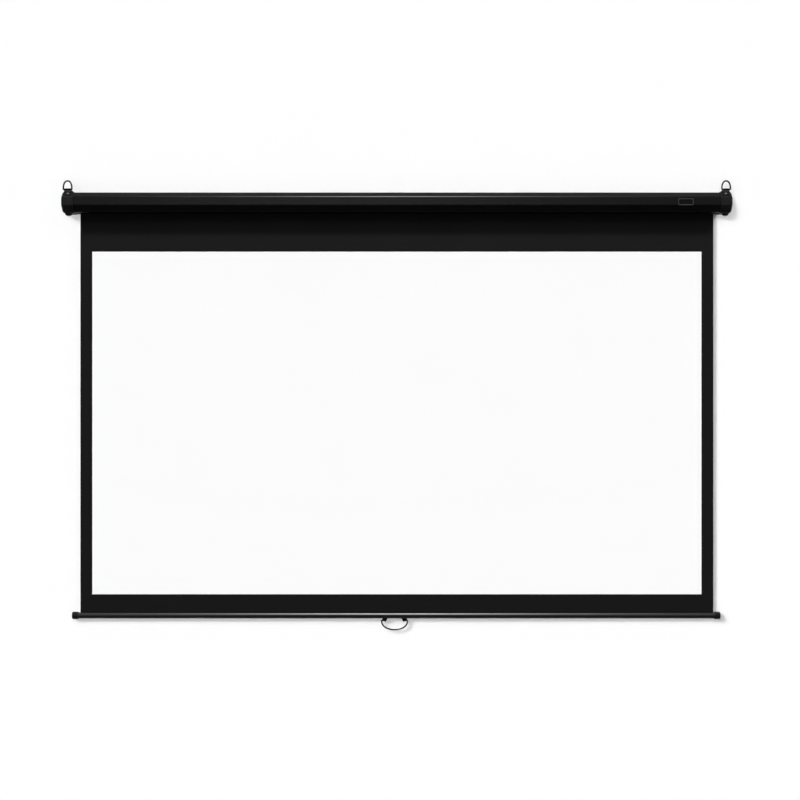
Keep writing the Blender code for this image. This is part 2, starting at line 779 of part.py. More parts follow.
def build_spring_motor():
    """The fixed arbor, the collar and plug that hold the spring's ends, and the spring."""
    centre = Vector((0, ROLLER_Y, ROLLER_Z))
    outer = -BRACKET_OUTER - BRACKET_REACH
    inner = -ROLLER_END + ARBOR_LENGTH
    arbor = turned(
        "spring_arbor",
        [(0, inner), (ARBOR_RADIUS, inner), (ARBOR_RADIUS, outer), (0, outer)],
        centre,
        zinc_steel("arbor_steel"),
        SMALL_STEPS,
    )
    for level, sign in (("upper", 1), ("lower", -1)):
        near = sign * TANG_THICKNESS / 2
        far = sign * 2 * ARBOR_RADIUS
        flat = box(
            f"{level}_tang_flat",
            (outer - TANG_LENGTH, ROLLER_Y - 2 * ARBOR_RADIUS, ROLLER_Z + min(near, far)),
            (outer + TANG_LENGTH, ROLLER_Y + 2 * ARBOR_RADIUS, ROLLER_Z + max(near, far)),
            None,
        )
        cut(arbor, as_cutter(flat))
    bore = ARBOR_RADIUS + FIT
    collar_start = -ROLLER_END + PLUG_LENGTH + COLLAR_FROM_PLUG
    collar_end = collar_start + COLLAR_LENGTH
    turned(
        "spring_collar",
        [
            (bore, collar_end),
            (COLLAR_RADIUS, collar_end),
            (COLLAR_RADIUS, collar_start),
            (bore, collar_start),
        ],
        centre,
        zinc_steel("collar_steel"),
    )
    anchor_end = inner - COLLAR_FROM_PLUG
    anchor_start = anchor_end - ANCHOR_LENGTH
    body = ROLLER_RADIUS - ROLLER_WALL - FIT
    anchor = turned(
        "spring_anchor_plug",
        [(bore, anchor_end), (body, anchor_end), (body, anchor_start), (bore, anchor_start)],
        centre,
        black_plastic("anchor_plastic"),
    )
    build_spring(centre, collar_end, anchor_start)
    return anchor


def build_spring(centre, left, right):
    """The spring: one unbroken coil between the collar and the anchor plug."""
    start = left + FIT + SPRING_WIRE / 2
    end = right - FIT - SPRING_WIRE / 2
    count = SPRING_TURNS * SPRING_POINTS
    points = []
    for i in range(count + 1):
        turn = 2 * math.pi * i / SPRING_POINTS
        x = start + (end - start) * i / count
        points.append(
            (x, centre.y + SPRING_RADIUS * math.cos(turn), centre.z + SPRING_RADIUS * math.sin(turn))
        )
    wire("torsion_spring", points, SPRING_WIRE, zinc_steel("spring_steel"), resolution=1)
    apart = min((Vector(a) - Vector(b)).length for a, b in zip(points, points[SPRING_POINTS:]))
    print("spring: least gap between turns, mm", round(1000 * (apart - SPRING_WIRE), 2))


def build_lock(lock_plug):
    """The notched wheel on the arbor, and the pawl that turns with the roller."""
    middle = -FLANGE_END - WHEEL_FROM_FLANGE - WHEEL_THICKNESS / 2
    outline = []
    engaged = pawl_notch_angle()
    half = NOTCH_ANGLE / 2
    pitch = 360 / WHEEL_NOTCHES
    for notch in range(WHEEL_NOTCHES):
        base = engaged + notch * pitch
        corners = [(base - half, WHEEL_FLOOR), (base + half, WHEEL_FLOOR)]
        rim = [(base + half + (pitch - NOTCH_ANGLE) * i / 3, WHEEL_RADIUS) for i in range(4)]
        for angle, radius in corners + rim:
            turn = math.radians(angle)
            outline.append((ROLLER_Y + radius * math.cos(turn), ROLLER_Z + radius * math.sin(turn)))
    bore = circle(ROLLER_Y, ROLLER_Z, ARBOR_RADIUS + FIT, SMALL_STEPS)
    plate("ratchet_wheel", [outline, bore], middle, WHEEL_THICKNESS, zinc_steel("wheel_steel"))

    pin_z = ROLLER_Z - PAWL_PIN_DROP
    pin_low = middle - WHEEL_THICKNESS / 2 - 2 * FIT
    pin_high = -FLANGE_END + PAWL_PIN_SINK
    pin = turned(
        "pawl_pin",
        [(0, pin_high), (PAWL_PIN_RADIUS, pin_high), (PAWL_PIN_RADIUS, pin_low), (0, pin_low)],
        (0, ROLLER_Y, pin_z),
        zinc_steel("pawl_pin_steel"),
        SMALL_STEPS,
    )
    hole_middle = (-FLANGE_END, ROLLER_Y, pin_z)
    hole_length = 2 * (PAWL_PIN_SINK + FIT)
    cut(lock_plug, drill("pawl_pin_hole", hole_middle, (1, 0, 0), PAWL_PIN_RADIUS + FIT, hole_length))

    hub_turns = [math.radians(angle) for angle in range(60, 301, 40)]
    hub = [(PAWL_HUB * math.cos(turn), PAWL_HUB * math.sin(turn)) for turn in hub_turns]
    arm_half = PAWL_ARM / 2
    arm = [
        (PAWL_REACH, -arm_half),
        (PAWL_REACH, PAWL_NOSE_HEIGHT),
        (PAWL_REACH - PAWL_NOSE_WIDTH, PAWL_NOSE_HEIGHT),
        (PAWL_REACH - PAWL_NOSE_WIDTH, arm_half),
    ]
    outline = [(ROLLER_Y + y, pin_z + z) for y, z in hub + arm]
    bore = circle(ROLLER_Y, pin_z, PAWL_PIN_RADIUS + FIT, SMALL_STEPS)
    pawl = plate("lock_pawl", [outline, bore], middle, WHEEL_THICKNESS, zinc_steel("pawl_steel"))
    return pin, pawl, (middle, ROLLER_Y, pin_z)


def pawl_notch_angle():
    """The angle about the roller's axis at which the raised nose sits in a notch."""
    swing = math.radians(PAWL_SWING)
    y = PAWL_REACH - PAWL_NOSE_WIDTH / 2
    z = (PAWL_ARM / 2 + PAWL_NOSE_HEIGHT) / 2
    at_y = y * math.cos(swing) - z * math.sin(swing)
    at_z = y * math.sin(swing) + z * math.cos(swing) - PAWL_PIN_DROP
    return math.degrees(math.atan2(at_z, at_y))


def build_cloth():
    """The hanging cloth: its black-backed sheet, the white picture area and the hem."""
    box(
        "screen_cloth",
        (-CLOTH_EDGE, CLOTH_FRONT, HEM_TOP + FIT),
        (CLOTH_EDGE, CLOTH_FRONT + BACKING_THICKNESS, ROLLER_Z),
        finish("cloth_black", (0.012, 0.012, 0.012), 0.9),
    )
    white_back = CLOTH_FRONT - FIT
    box(
        "picture_surface",
        (-IMAGE_WIDTH / 2, white_back - WHITE_THICKNESS, IMAGE_BOTTOM),
        (IMAGE_WIDTH / 2, white_back, IMAGE_TOP),
        finish("picture_white", (0.9, 0.9, 0.9), 0.9),
    )


def build_weight_bar():
    """The slotted tube, the hem and rod inside it, and its end caps."""
    bore = BAR_RADIUS - BAR_WALL
    half_slot = BAR_SLOT / 2
    tube_end = CLOTH_EDGE + BAR_MARGIN + BAR_CAP_SOCKET
    opening = math.asin(half_slot / BAR_RADIUS)
    steps = TURN_STEPS
    path = []
    for i in range(steps + 1):
        turn = math.pi / 2 + opening + (2 * math.pi - 2 * opening) * i / steps
        path.append(Vector((CLOTH_Y + BAR_RADIUS * math.cos(turn), BAR_Z + BAR_RADIUS * math.sin(turn))))
    bar = straight_ribbon(
        "weight_bar", path, BAR_OFFSET - tube_end, BAR_OFFSET + tube_end, BAR_WALL, painted_steel("bar_paint")
    )
    smooth(bar)

    loop_outer = ROD_RADIUS + FIT + HEM_THICKNESS
    under_lips = math.sqrt(bore**2 - half_slot**2) - math.sqrt(loop_outer**2 - half_slot**2)
    rod_z = BAR_Z + under_lips - FIT
    loop_middle = ROD_RADIUS + FIT + HEM_THICKNESS / 2
    hem_path = [Vector((CLOTH_Y, HEM_TOP))]
    for i in range(HEM_LOOP_STEPS + 1):
        turn = math.radians(90 + (360 - HEM_MOUTH_ANGLE) * i / HEM_LOOP_STEPS)
        around = Vector((math.cos(turn), math.sin(turn)))
        hem_path.append(Vector((CLOTH_Y, rod_z)) + around * loop_middle)
    hem = straight_ribbon(
        "cloth_hem",
        hem_path,
        -CLOTH_EDGE,
        CLOTH_EDGE,
        HEM_THICKNESS,
        finish("hem_black", (0.012, 0.012, 0.012), 0.9),
        grow=0.0,
    )
    rod = turned(
        "hem_rod",
        [(0, CLOTH_EDGE), (ROD_RADIUS, CLOTH_EDGE), (ROD_RADIUS, -CLOTH_EDGE), (0, -CLOTH_EDGE)],
        (0, CLOTH_Y, rod_z),
        zinc_steel("rod_steel"),
        SMALL_STEPS,
    )
    moving = [bar, hem, rod]
    for side, sign in SIDES:
        mouth = CLOTH_EDGE + BAR_MARGIN
        end = mouth + BAR_CAP_LENGTH
        profile = [
            (0, end),
            (BAR_CAP_RADIUS - BAR_CAP_ROUND, end),
            (BAR_CAP_RADIUS - BAR_CAP_ROUND / 4, end - BAR_CAP_ROUND / 4),
            (BAR_CAP_RADIUS, end - BAR_CAP_ROUND),
            (BAR_CAP_RADIUS, mouth + BAR_CAP_ROUND / 2),
            (BAR_CAP_RADIUS - BAR_CAP_ROUND / 6, mouth),
            (BAR_RADIUS + FIT, mouth),
            (BAR_RADIUS + FIT, mouth + BAR_CAP_SOCKET + FIT),
            (0, mouth + BAR_CAP_SOCKET + FIT),
        ]
        material = black_plastic(f"{side}_bar_cap_plastic")
        centre = (BAR_OFFSET, CLOTH_Y, BAR_Z)
        cap = turned(f"{side}_bar_cap", profile, centre, material, TURN_STEPS, (sign, 0, 0))
        smooth(cap)
        moving.append(cap)
    return bar, moving


def build_lug(side, sign, bar):
    """A saddle under the bar that holds one end of the handle, and its screw."""
    saddle = BAR_RADIUS + FIT
    reach = math.asin(LUG_DEPTH / 2 / saddle)
    outline = []
    for i in range(SADDLE_STEPS + 1):
        turn = reach - 2 * reach * i / SADDLE_STEPS
        outline.append((CLOTH_Y + saddle * math.sin(turn), BAR_Z - saddle * math.cos(turn)))
    for y in (-LUG_LOWER_DEPTH / 2, LUG_LOWER_DEPTH / 2):
        outline.append((CLOTH_Y + y, LUG_BOTTOM))
    middle = HANDLE_OFFSET + sign * (LUG_INNER + LUG_OUTER) / 2
    lug = plate(f"{side}_handle_lug", [outline], middle, LUG_WIDTH, painted_steel(f"{side}_lug_paint"))
    for vert in lug.data.vertices:
        at_bottom = vert.co.y < LUG_BOTTOM + FIT
        if at_bottom and vert.co.z * sign < 0:
            vert.co.z += sign * (LUG_WIDTH - LUG_LOWER_WIDTH)
    hole_centre = (HANDLE_OFFSET + sign * LUG_OUTER, CLOTH_Y, PIVOT_Z)
    bore = HANDLE_WIRE / 2 + PIVOT_CLEARANCE
    pivot_hole = drill(f"{side}_pivot_hole", hole_centre, (1, 0, 0), bore, 2 * (HANDLE_SINK + FIT))
    cut(lug, pivot_hole)
    seat = Vector((HANDLE_OFFSET + sign * LUG_SCREW_X, CLOTH_Y, LUG_BOTTOM))
    down = Vector((0, 0, -1))
    length = LUG_HEIGHT + BAR_WALL + FIT
    hole_length = 2 * (length + LUG_SCREW_HOLE_SPARE)
    screw_hole = drill(f"{side}_lug_screw_hole", seat, down, SCREW_SHANK + FIT, hole_length)
    cut(lug, screw_hole)
    cut(bar, screw_hole)
    screw = build_screw(f"{side}_lug_screw", seat, down, LUG_SCREW_HEAD, length)
    return [lug, screw]


def build_handle():
    """The wire pull handle: a full oval whose ends turn in to the lugs."""
    half = HANDLE_WIDTH / 2 - HANDLE_WIRE / 2
    drop = HANDLE_DROP - PIVOT_DROP - HANDLE_WIRE / 2
    inner_end = LUG_OUTER - HANDLE_SINK
    bend = []
    for i in range(BEND_STEPS + 1):
        turn = math.radians(90 * i / BEND_STEPS)
        across = half - HANDLE_BEND + HANDLE_BEND * math.sin(turn)
        bend.append((across, HANDLE_BEND - HANDLE_BEND * math.cos(turn)))
    bow = [p for p in arch(half, drop, HANDLE_FULLNESS, HANDLE_BOW_STEPS) if p[1] > 2 * HANDLE_BEND]
    right = [(inner_end, 0.0), *bend]
    left = [(-x, z) for x, z in reversed(right)]
    points = [(HANDLE_OFFSET + x, CLOTH_Y, PIVOT_Z - z) for x, z in right + bow + left]
    return wire("pull_handle", points, HANDLE_WIRE, black_wire("handle_wire"))


def hinge(name, location, moving, parent=None):
    """An empty on a joint's axis that carries the pieces that move there."""
    axis = place(bpy.data.objects.new(name, None))
    axis.location = location
    if parent:
        axis.parent = parent
        bpy.context.view_layer.update()
        axis.matrix_parent_inverse = parent.matrix_world.inverted()
    bpy.context.view_layer.update()
    for thing in moving:
        thing.parent = axis
        thing.matrix_parent_inverse = axis.matrix_world.inverted()
    return axis


def build_screen():
    case = build_case()
    caps = {side: build_end_cap(side, sign) for side, sign in SIDES}
    build_hanging_gear(case, caps)
    build_badge()
    build_brackets()
    build_bush()
    anchor = build_spring_motor()
    turning, lock_plug = build_roller()
    pin, pawl, pawl_axis = build_lock(lock_plug)
    roller_axis = hinge("roller_axis", (0, ROLLER_Y, ROLLER_Z), [*turning, anchor, pin])
    hinge("pawl_axis", pawl_axis, [pawl], roller_axis)
    build_cloth()
    bar, sliding = build_weight_bar()
    for side, sign in SIDES:
        sliding += build_lug(side, sign, bar)
    slide = hinge("screen_slide", (0, CLOTH_Y, BAR_Z), sliding)
    hinge("handle_axis", (0, CLOTH_Y, PIVOT_Z), [build_handle()], slide)


build_screen()
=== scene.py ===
"""Looks of the pull down projector screen, in metres, front towards -Y and the wall at y = 0."""

import math

import bmesh
import bpy
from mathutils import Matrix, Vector


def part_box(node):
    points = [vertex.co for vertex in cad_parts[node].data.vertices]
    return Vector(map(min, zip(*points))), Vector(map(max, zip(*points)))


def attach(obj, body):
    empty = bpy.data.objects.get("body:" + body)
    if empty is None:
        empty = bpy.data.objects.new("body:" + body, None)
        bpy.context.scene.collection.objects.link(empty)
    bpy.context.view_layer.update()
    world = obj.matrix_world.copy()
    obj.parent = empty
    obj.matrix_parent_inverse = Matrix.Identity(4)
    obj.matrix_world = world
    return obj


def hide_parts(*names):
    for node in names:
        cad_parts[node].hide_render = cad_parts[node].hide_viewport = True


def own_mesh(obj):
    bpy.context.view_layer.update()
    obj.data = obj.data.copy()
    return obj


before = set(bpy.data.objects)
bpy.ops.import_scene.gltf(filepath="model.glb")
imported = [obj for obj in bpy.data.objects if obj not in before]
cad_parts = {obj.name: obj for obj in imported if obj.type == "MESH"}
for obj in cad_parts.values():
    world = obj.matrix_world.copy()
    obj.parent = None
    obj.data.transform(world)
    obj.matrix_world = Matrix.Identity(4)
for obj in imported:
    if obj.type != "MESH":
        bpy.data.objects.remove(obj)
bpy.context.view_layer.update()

SIDES = {"left": -1, "right": 1}
CLOSE = 1e-5  # two places this near are the same one
FACING = 0.9  # the normal of a face that looks along an axis has at least this much of it
SIDE_ON = 0.5  # and that of a face seen from its side has less than this
LONG_EDGE = 0.02  # an edge longer than this along X runs along the piece
WINDOWLESS_TURN = -1.0  # with no window, a rotation turns the other way

# Case
CASE_HALF = 0.036
CASE_DEPTH = 0.072
CASE_END = 1.192
CASE_WALL = 0.001
FRONT_TOP = 0.018
UPPER_FOLD_Y = -0.054
LOWER_FOLD_Y = -0.052
CASE_RIDGE = Vector((0, -CASE_DEPTH, FRONT_TOP))
UPPER_SLOPE_OUT = Vector((0, -1, 1)).normalized()
LOWER_SLOPE_HEIGHT = 0.023
LOWER_SLOPE_DEPTH = 0.020
LOWER_SLOPE_OUT = Vector((0, -LOWER_SLOPE_HEIGHT, -LOWER_SLOPE_DEPTH)).normalized()
FRONT_FOLD = 0.0042
BACK_FOLD = 0.0014
SLOT_FRONT = -0.0235
SLOT_BACK = -0.0075
SLOT_LIP = 0.0028
BACK_NOTCH = 0.0046  # depth of what is cut from the case's back, where the caps' backs lie

# Caps
CAP_MOUTH = 1.166
CAP_GAP = 0.0004
CAP_STRAIGHT = 0.033
CAP_DOME = 0.011
CAP_DOME_INSET = 0.020
CAP_WALL = 0.0018
CAP_GROWTH = 0.0021  # how far its faces stand off the case's
CAP_FOLD = 0.0026
CAP_HALF = 0.0375
CAP_MIDDLE = -0.037
BOSS_X = 1.1885
BOSS_MIDDLE = -0.0405
BOSS_RADIUS = 0.013
BOSS_LENGTH = 0.0052
BOSS_TAPER = 0.84
BOSS_NOSE = 0.0019
BOSS_NOSE_TAPER = 0.82
BOSS_SEAT = -0.0453

# Hanging gear
RING_X = 1.192
RING_Y = -0.036
RING_Z = 0.0482
RING_HALF = 0.01545
RING_RISE = 0.0318
RING_CORNER = 0.0035
RING_WIRE = 0.0028
RING_FULLNESS = 2.3
STRAP_WALL = 0.0018
STRAP_LOOP = 0.0038
STRAP_LEAN = 50  # degrees below level at which the curl starts and ends
STRAP_BEND = 0.0022
STRAP_FACE = 0.0045  # how far its outer face stands off the case's
TOE_Y = -0.0725
TOE_Z = 0.0222
SHOULDER_Y = -0.0554
REAR_BEND_Y = -0.0166
REAR_FOOT = 0.0152
FOOT_LEVEL = 0.0393
FOOT_INNER = 1.168
FOOT_OUTER = 1.200
LOOP_HALF = 0.01175

# Screws
SCREW_X = 1.184
SCREW_UP_SLOPE = 0.0135
SCREW_LIFT = 0.0001
REAR_SCREW_Y = -0.0086
REAR_SCREW_LIFT = 0.0010
CASE_SCREW_HEAD = 0.0042
LUG_SCREW_HEAD = 0.0028
SCREW_RIM = 0.0012
SCREW_CROWN = ((0.00045, 0.93), (0.00032, 0.82), (0.00018, 0.68))  # rise and size of each step
SHANK_RADIUS = 0.0015
SHANK_LENGTH = 0.0088
SHANK_POINT = 0.0014
POINT_SIZE = 0.1
RECESS_REACH = 0.52
RECESS_HALF = 0.00042
RECESS_FLOOR = 0.0010
RECESS_TOP = 0.0034

# Badge
BADGE_CORNER = 0.0012
BADGE_RIM_WIDTH = 0.0007
BADGE_STEP = 0.0002
BADGE_SINK = 0.0003

# Cloth
CLOTH_EDGE = 1.150
CLOTH_Y = -0.0155
PICTURE_HALF = 1.107
PICTURE_TOP = -0.174
PICTURE_BOTTOM = -1.419
CLOTH_BOTTOM = -1.4517
CLOTH_THICKNESS = 0.0006
CLOTH_SIZE = (2.3, 1.4517, 1.0)
CLOTH_COLUMNS = 24
CLOTH_ROWS = 16
HEM_LAP = 0.0012
HEM_LOOP = 0.0037
HEM_CURL = 330
HEM_THICKNESS = 0.0007
ROLLER_Y = -0.0365
TURNS_INNER = 0.0194
TURNS_OUTER = 0.0204
TURNS_ANGLE = 720
TURNS_THICKNESS = 0.0004

# Weight bar and its knobs
BAR_Z = -1.496
BAR_RADIUS = 0.011
BAR_WALL = 0.0012
BAR_SLOT = 0.0015
BAR_LEFT = -1.1705
BAR_RIGHT = 1.1655
BAR_MIDDLE = -0.0025
BAR_FIT = 0.0003  # play round the bar
KNOB_RADIUS = 0.0134
KNOB_MOUTH = 1.155
KNOB_LENGTH = 0.0215
KNOB_NOSE = 0.003
KNOB_LAND = 0.0035
KNOB_DISH_EDGE = 0.0008
KNOB_DISH = 0.0006
KNOB_SOCKET = 0.0133
KNOB_LIP = 0.0006

# Handle and its lugs
HANDLE_X = -0.0085
HANDLE_HALF = 0.0469
HANDLE_PIVOT = -1.5125
HANDLE_DROP = 0.0352
HANDLE_WIRE = 0.0026
HANDLE_BEND = 0.0035
HANDLE_TAIL = 0.0075
HANDLE_FULLNESS = 2.15
LUG_OUTER = 0.0447
LUG_INNER = 0.0237
LUG_FOOT = 0.0307
LUG_FOOT_SHARE = 8 / 14
LUG_HALF = 0.007
LUG_TOP = BAR_Z - 0.007
LUG_BOTTOM = -1.5162
LUG_SCREW = 0.034
LUG_SCREW_LIFT = 0.0002
SADDLE_LENGTH = 0.06
EYE_LENGTH = 0.0156
EYE_FIT = 0.0002  # play round the handle's wire


# Handling of a piece

def rest_hands():
    """Leaves edit mode with nothing selected."""
    if bpy.context.mode != "OBJECT":
        bpy.ops.object.mode_set(mode="OBJECT")
    bpy.ops.object.select_all(action="DESELECT")


def take(piece):
    """Makes one piece the only selected one."""
    rest_hands()
    piece.select_set(True)
    bpy.context.view_layer.objects.active = piece
    return piece


def settle(name):
    """Names the new primitive and moves its place into its mesh."""
    piece = take(bpy.context.object)
    piece.name = name
    piece.data.name = name
    bpy.ops.object.transform_apply(location=True, rotation=True, scale=True)
    return piece


def block(name, low, high):
    """A block between two corners."""
    rest_hands()
    size = [b - a for a, b in zip(low, high)]
    middle = [(a + b) / 2 for a, b in zip(low, high)]
    bpy.ops.mesh.primitive_cube_add(size=1, location=middle, scale=size)
    return settle(name)


TURNED = {"X": (0, math.pi / 2, 0), "Y": (math.pi / 2, 0, 0), "Z": (0, 0, 0)}


def round_bar(name, middle, radius, length, axis, sides):
    """A round bar with its ends closed."""
    rest_hands()
    bpy.ops.mesh.primitive_cylinder_add(
        vertices=sides, radius=radius, depth=length, location=middle, rotation=TURNED[axis]
    )
    return settle(name)


def hoop(name, middle, radius, sides):
    """An open ring of points square to X, the start of a wire or tube."""
    rest_hands()
    bpy.ops.mesh.primitive_circle_add(
        vertices=sides, radius=radius, location=middle, rotation=TURNED["X"]
    )
    return settle(name)


def upright_sheet(name, middle, width, height):
    """A flat sheet that looks to the front."""
    rest_hands()
    bpy.ops.mesh.primitive_plane_add(size=1, location=middle, rotation=TURNED["Y"])
    bpy.context.object.scale = (width, height, 1)
    return settle(name)


def open_up(piece):
    """Opens a piece for editing with nothing on it selected."""
    take(piece)
    bpy.ops.object.mode_set(mode="EDIT")
    bpy.ops.mesh.select_mode(type="VERT")
    bpy.ops.mesh.select_all(action="DESELECT")


def close_up():
    bpy.ops.object.mode_set(mode="OBJECT")


def pick(piece, kind, parts, wanted):
    """Selects the parts of one kind that are wanted."""
    bpy.ops.mesh.select_mode(type=kind)
    bpy.ops.mesh.select_all(action="DESELECT")
    shape = bmesh.from_edit_mesh(piece.data)
    for part in getattr(shape, parts):
        if wanted(part):
            part.select_set(True)
    if kind == "VERT":
        shape.select_flush(True)
    bmesh.update_edit_mesh(piece.data)


def pick_faces(piece, wanted):
    """Selects the faces whose middle and normal are wanted."""
    pick(piece, "FACE", "faces", lambda face: wanted(face.calc_center_median(), face.normal))


def pick_edges(piece, wanted):
    """Selects the edges whose two ends are wanted together."""
    pick(piece, "EDGE", "edges", lambda edge: wanted(*[end.co for end in edge.verts]))


def pick_rim(piece, wanted):
    """Selects the edges each of whose ends is wanted."""
    pick(piece, "EDGE", "edges", lambda edge: all(wanted(end.co) for end in edge.verts))


def pick_points(piece, wanted):
    """Selects the points that are wanted."""
    pick(piece, "VERT", "verts", lambda point: wanted(point.co))


def runs_along(a, b):
    return abs(a.x - b.x) > LONG_EDGE


def slice_off(at, outwards):
    """Cuts the whole piece by a plane, drops the outer part and closes the cut."""
    bpy.ops.mesh.select_all(action="SELECT")
    bpy.ops.mesh.bisect(plane_co=at, plane_no=outwards, use_fill=True, clear_outer=True)


def score(at, square_to):
    """Marks a line round the whole piece where a plane crosses it."""
    bpy.ops.mesh.select_all(action="SELECT")
    bpy.ops.mesh.bisect(plane_co=at, plane_no=square_to)


def push_out(by):
    """Extrudes what is selected by a vector."""
    bpy.ops.mesh.extrude_region_move(TRANSFORM_OT_translate={"value": by})


def shift(by):
    bpy.ops.transform.translate(value=by)


def scale_about(factors, centre):
    bpy.ops.transform.resize(value=factors, center_override=centre)


def round_edges(radius, segments):
    bpy.ops.mesh.bevel(offset=radius, segments=segments, affect="EDGES")


def curl(centre, degrees, steps):
    """Spins a selected line about an axis along X."""
    bpy.ops.mesh.spin(steps=steps, angle=math.radians(degrees), center=centre, axis=(1, 0, 0))


def strip_line(name, middle, width):
    """A line along X that a strip is drawn from, left open for editing and selected."""
    rest_hands()
    bpy.ops.mesh.primitive_plane_add(size=1, location=middle)
    strip = settle(name)
    open_up(strip)
    pick_points(strip, lambda p: p.y > middle[1])
    bpy.ops.mesh.delete(type="VERT")
    bpy.ops.mesh.select_all(action="SELECT")
    shift((0, 0.5, 0))
    scale_about((width, 1, 1), (middle[0], 0, 0))
    return strip


def finish_with(piece, name, kind, **settings):
    """Adds a modifier to a piece and applies it."""
    take(piece)
    modifier = piece.modifiers.new(name, kind)
    for setting, value in settings.items():
        setattr(modifier, setting, value)
    bpy.ops.object.modifier_apply(modifier=modifier.name)


def thicken(piece, wall, offset=-1.0):
    """Gives a sheet its wall."""
    finish_with(piece, "wall", "SOLIDIFY", thickness=wall, offset=offset, use_even_offset=True)


def ease(piece, radius, segments, angle):
    """Rounds the edges of a finished piece that are sharper than an angle in degrees."""
    finish_with(
        piece, "eased", "BEVEL",
        width=radius, segments=segments, limit_method="ANGLE", angle_limit=math.radians(angle),
    )


def carve(piece, cutter):
    """Takes a cutter's shape out of a piece and throws the cutter away."""
    finish_with(
        piece, "carved", "BOOLEAN", operation="DIFFERENCE", solver="EXACT", object=cutter
    )
    bpy.data.objects.remove(cutter, do_unlink=True)


def weld_together(piece, other):
    """Joins another mesh into a piece."""
    take(piece)
    other.select_set(True)
    bpy.ops.object.join()


def tidy_faces(piece, merge):
    """Merges doubled points and turns every face outwards."""
    open_up(piece)
    bpy.ops.mesh.select_all(action="SELECT")
    bpy.ops.mesh.remove_doubles(threshold=merge)
    bpy.ops.mesh.normals_make_consistent(inside=False)
    close_up()


def smooth(piece, angle=35):
    """Shades curves softly and keeps flat faces flat."""
    take(piece)
    bpy.ops.object.shade_smooth_by_angle(angle=math.radians(angle))
    finish_with(piece, "flat_faces", "WEIGHTED_NORMAL", weight=100, keep_sharp=True)


def copy_of(piece, name):
    """A second piece with its own mesh."""
    take(piece)
    bpy.ops.object.duplicate()
    twin = bpy.context.object
    twin.name = name
    twin.data.name = name
    return twin


def put_at(piece, spot):
    """Moves a finished piece and keeps its object at the origin."""
    take(piece)
    piece.location = spot
    bpy.ops.object.transform_apply(location=True, rotation=True, scale=True)


def fit(piece, body, slot, *nodes):
    """Sets a piece on its body in place of its CAD nodes."""
    rest_hands()
    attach(piece, body)
    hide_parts(*nodes)
    return piece


def half_oval(half, rise, fullness, steps):
    """Points of a full half oval from the right over the top to the left, as (x, height)."""
    points = []
    for i in range(1, steps):
        turn = math.pi * i / steps
        across = math.copysign(abs(math.cos(turn)) ** (2 / fullness), math.cos(turn))
        points.append((half * across, rise * math.sin(turn) ** (2 / fullness)))
    return points


def wire_outline(start, half, rise, corner, fullness, steps):
    """Half a bar from start, a tight corner, a bow and back again, as (x, height)."""
    parts = 6
    turns = [math.radians(90 * i / parts) for i in range(parts + 1)]
    flat = half - corner
    right = [(start, 0)]
    right += [(flat + corner * math.sin(t), corner * (1 - math.cos(t))) for t in turns]
    bow = [(x, corner + z) for x, z in half_oval(half, rise - corner, fullness, steps)]
    return [*right, *bow, *[(-x, z) for x, z in reversed(right)]]


def draw_wire(piece, path):
    """Draws a ring of points along a path that lies in one plane square to Y."""
    open_up(piece)
    bpy.ops.mesh.select_all(action="SELECT")
    for before, spot, after in zip(path, path[1:], path[2:] + [None]):
        push_out(spot - before)
        if after is None:
            continue
        come = spot - before
        leave = after - spot
        turn = math.atan2(come.z, come.x) - math.atan2(leave.z, leave.x)
        turn = (turn + math.pi) % (2 * math.pi) - math.pi
        bpy.ops.transform.rotate(
            value=WINDOWLESS_TURN * turn, orient_axis="Y", center_override=spot
        )


# Nodes

def add_node(tree, kind, inputs=()):
    """Adds a node, with each of its named inputs linked to a socket or set to a value."""
    node = tree.nodes.new(kind)
    for key, value in dict(inputs).items():
        if isinstance(value, bpy.types.NodeSocket):
            tree.links.new(value, node.inputs[key])
        else:
            node.inputs[key].default_value = value
    return node


def add_math(tree, operation, first, second):
    node = add_node(tree, "ShaderNodeMath", {0: first, 1: second})
    node.operation = operation
    return node.outputs["Value"]


def add_range(tree, value, low, high, start, end):
    """Maps a value from start..end to low..high."""
    inputs = {"Value": value, "From Min": start, "From Max": end, "To Min": low, "To Max": high}
    return add_node(tree, "ShaderNodeMapRange", inputs).outputs["Result"]


# Finishes: each pair holds the two shades that a finish drifts between
ENAMEL_BLACKS = ((0.0019, 0.0019, 0.0021), (0.0032, 0.0032, 0.0035))
PLASTIC_BLACKS = ((0.0026, 0.0026, 0.0028), (0.0044, 0.0044, 0.0047))
WIRE_BLACKS = ((0.0035, 0.0035, 0.004), (0.007, 0.007, 0.0075))
MASKING_BLACKS = ((0.0046, 0.0046, 0.0049), (0.0064, 0.0064, 0.0067))
BACKING_BLACKS = ((0.0075, 0.0075, 0.0082), (0.0165, 0.0165, 0.017))
HEM_BLACKS = ((0.0050, 0.0050, 0.0053), (0.0080, 0.0080, 0.0084))
BADGE_BLACKS = ((0.0018, 0.0018, 0.002), (0.003, 0.003, 0.0033))
BADGE_GREYS = ((0.10, 0.10, 0.105), (0.14, 0.14, 0.145))
PICTURE_WHITES = ((0.915, 0.915, 0.915), (0.935, 0.935, 0.935))
NYLON_CREAMS = ((0.62, 0.6, 0.54), (0.74, 0.72, 0.66))
SCREW_GREYS = ((0.07, 0.072, 0.08), (0.13, 0.135, 0.15))
ZINC_GREYS = ((0.46, 0.47, 0.49), (0.62, 0.63, 0.65))
TUBE_GREYS = ((0.42, 0.43, 0.45), (0.58, 0.59, 0.6))
SPRING_GREYS = ((0.2, 0.19, 0.18), (0.33, 0.32, 0.31))
RUBBED_ENAMEL = (0.055, 0.055, 0.058)
RUBBED_PLASTIC = (0.05, 0.05, 0.052)
RUBBED_WIRE = (0.028, 0.028, 0.03)
CLOUD_RANGE = (0.3, 0.7)  # where most of a cloud's values lie
THREAD_SCALE = 420.0


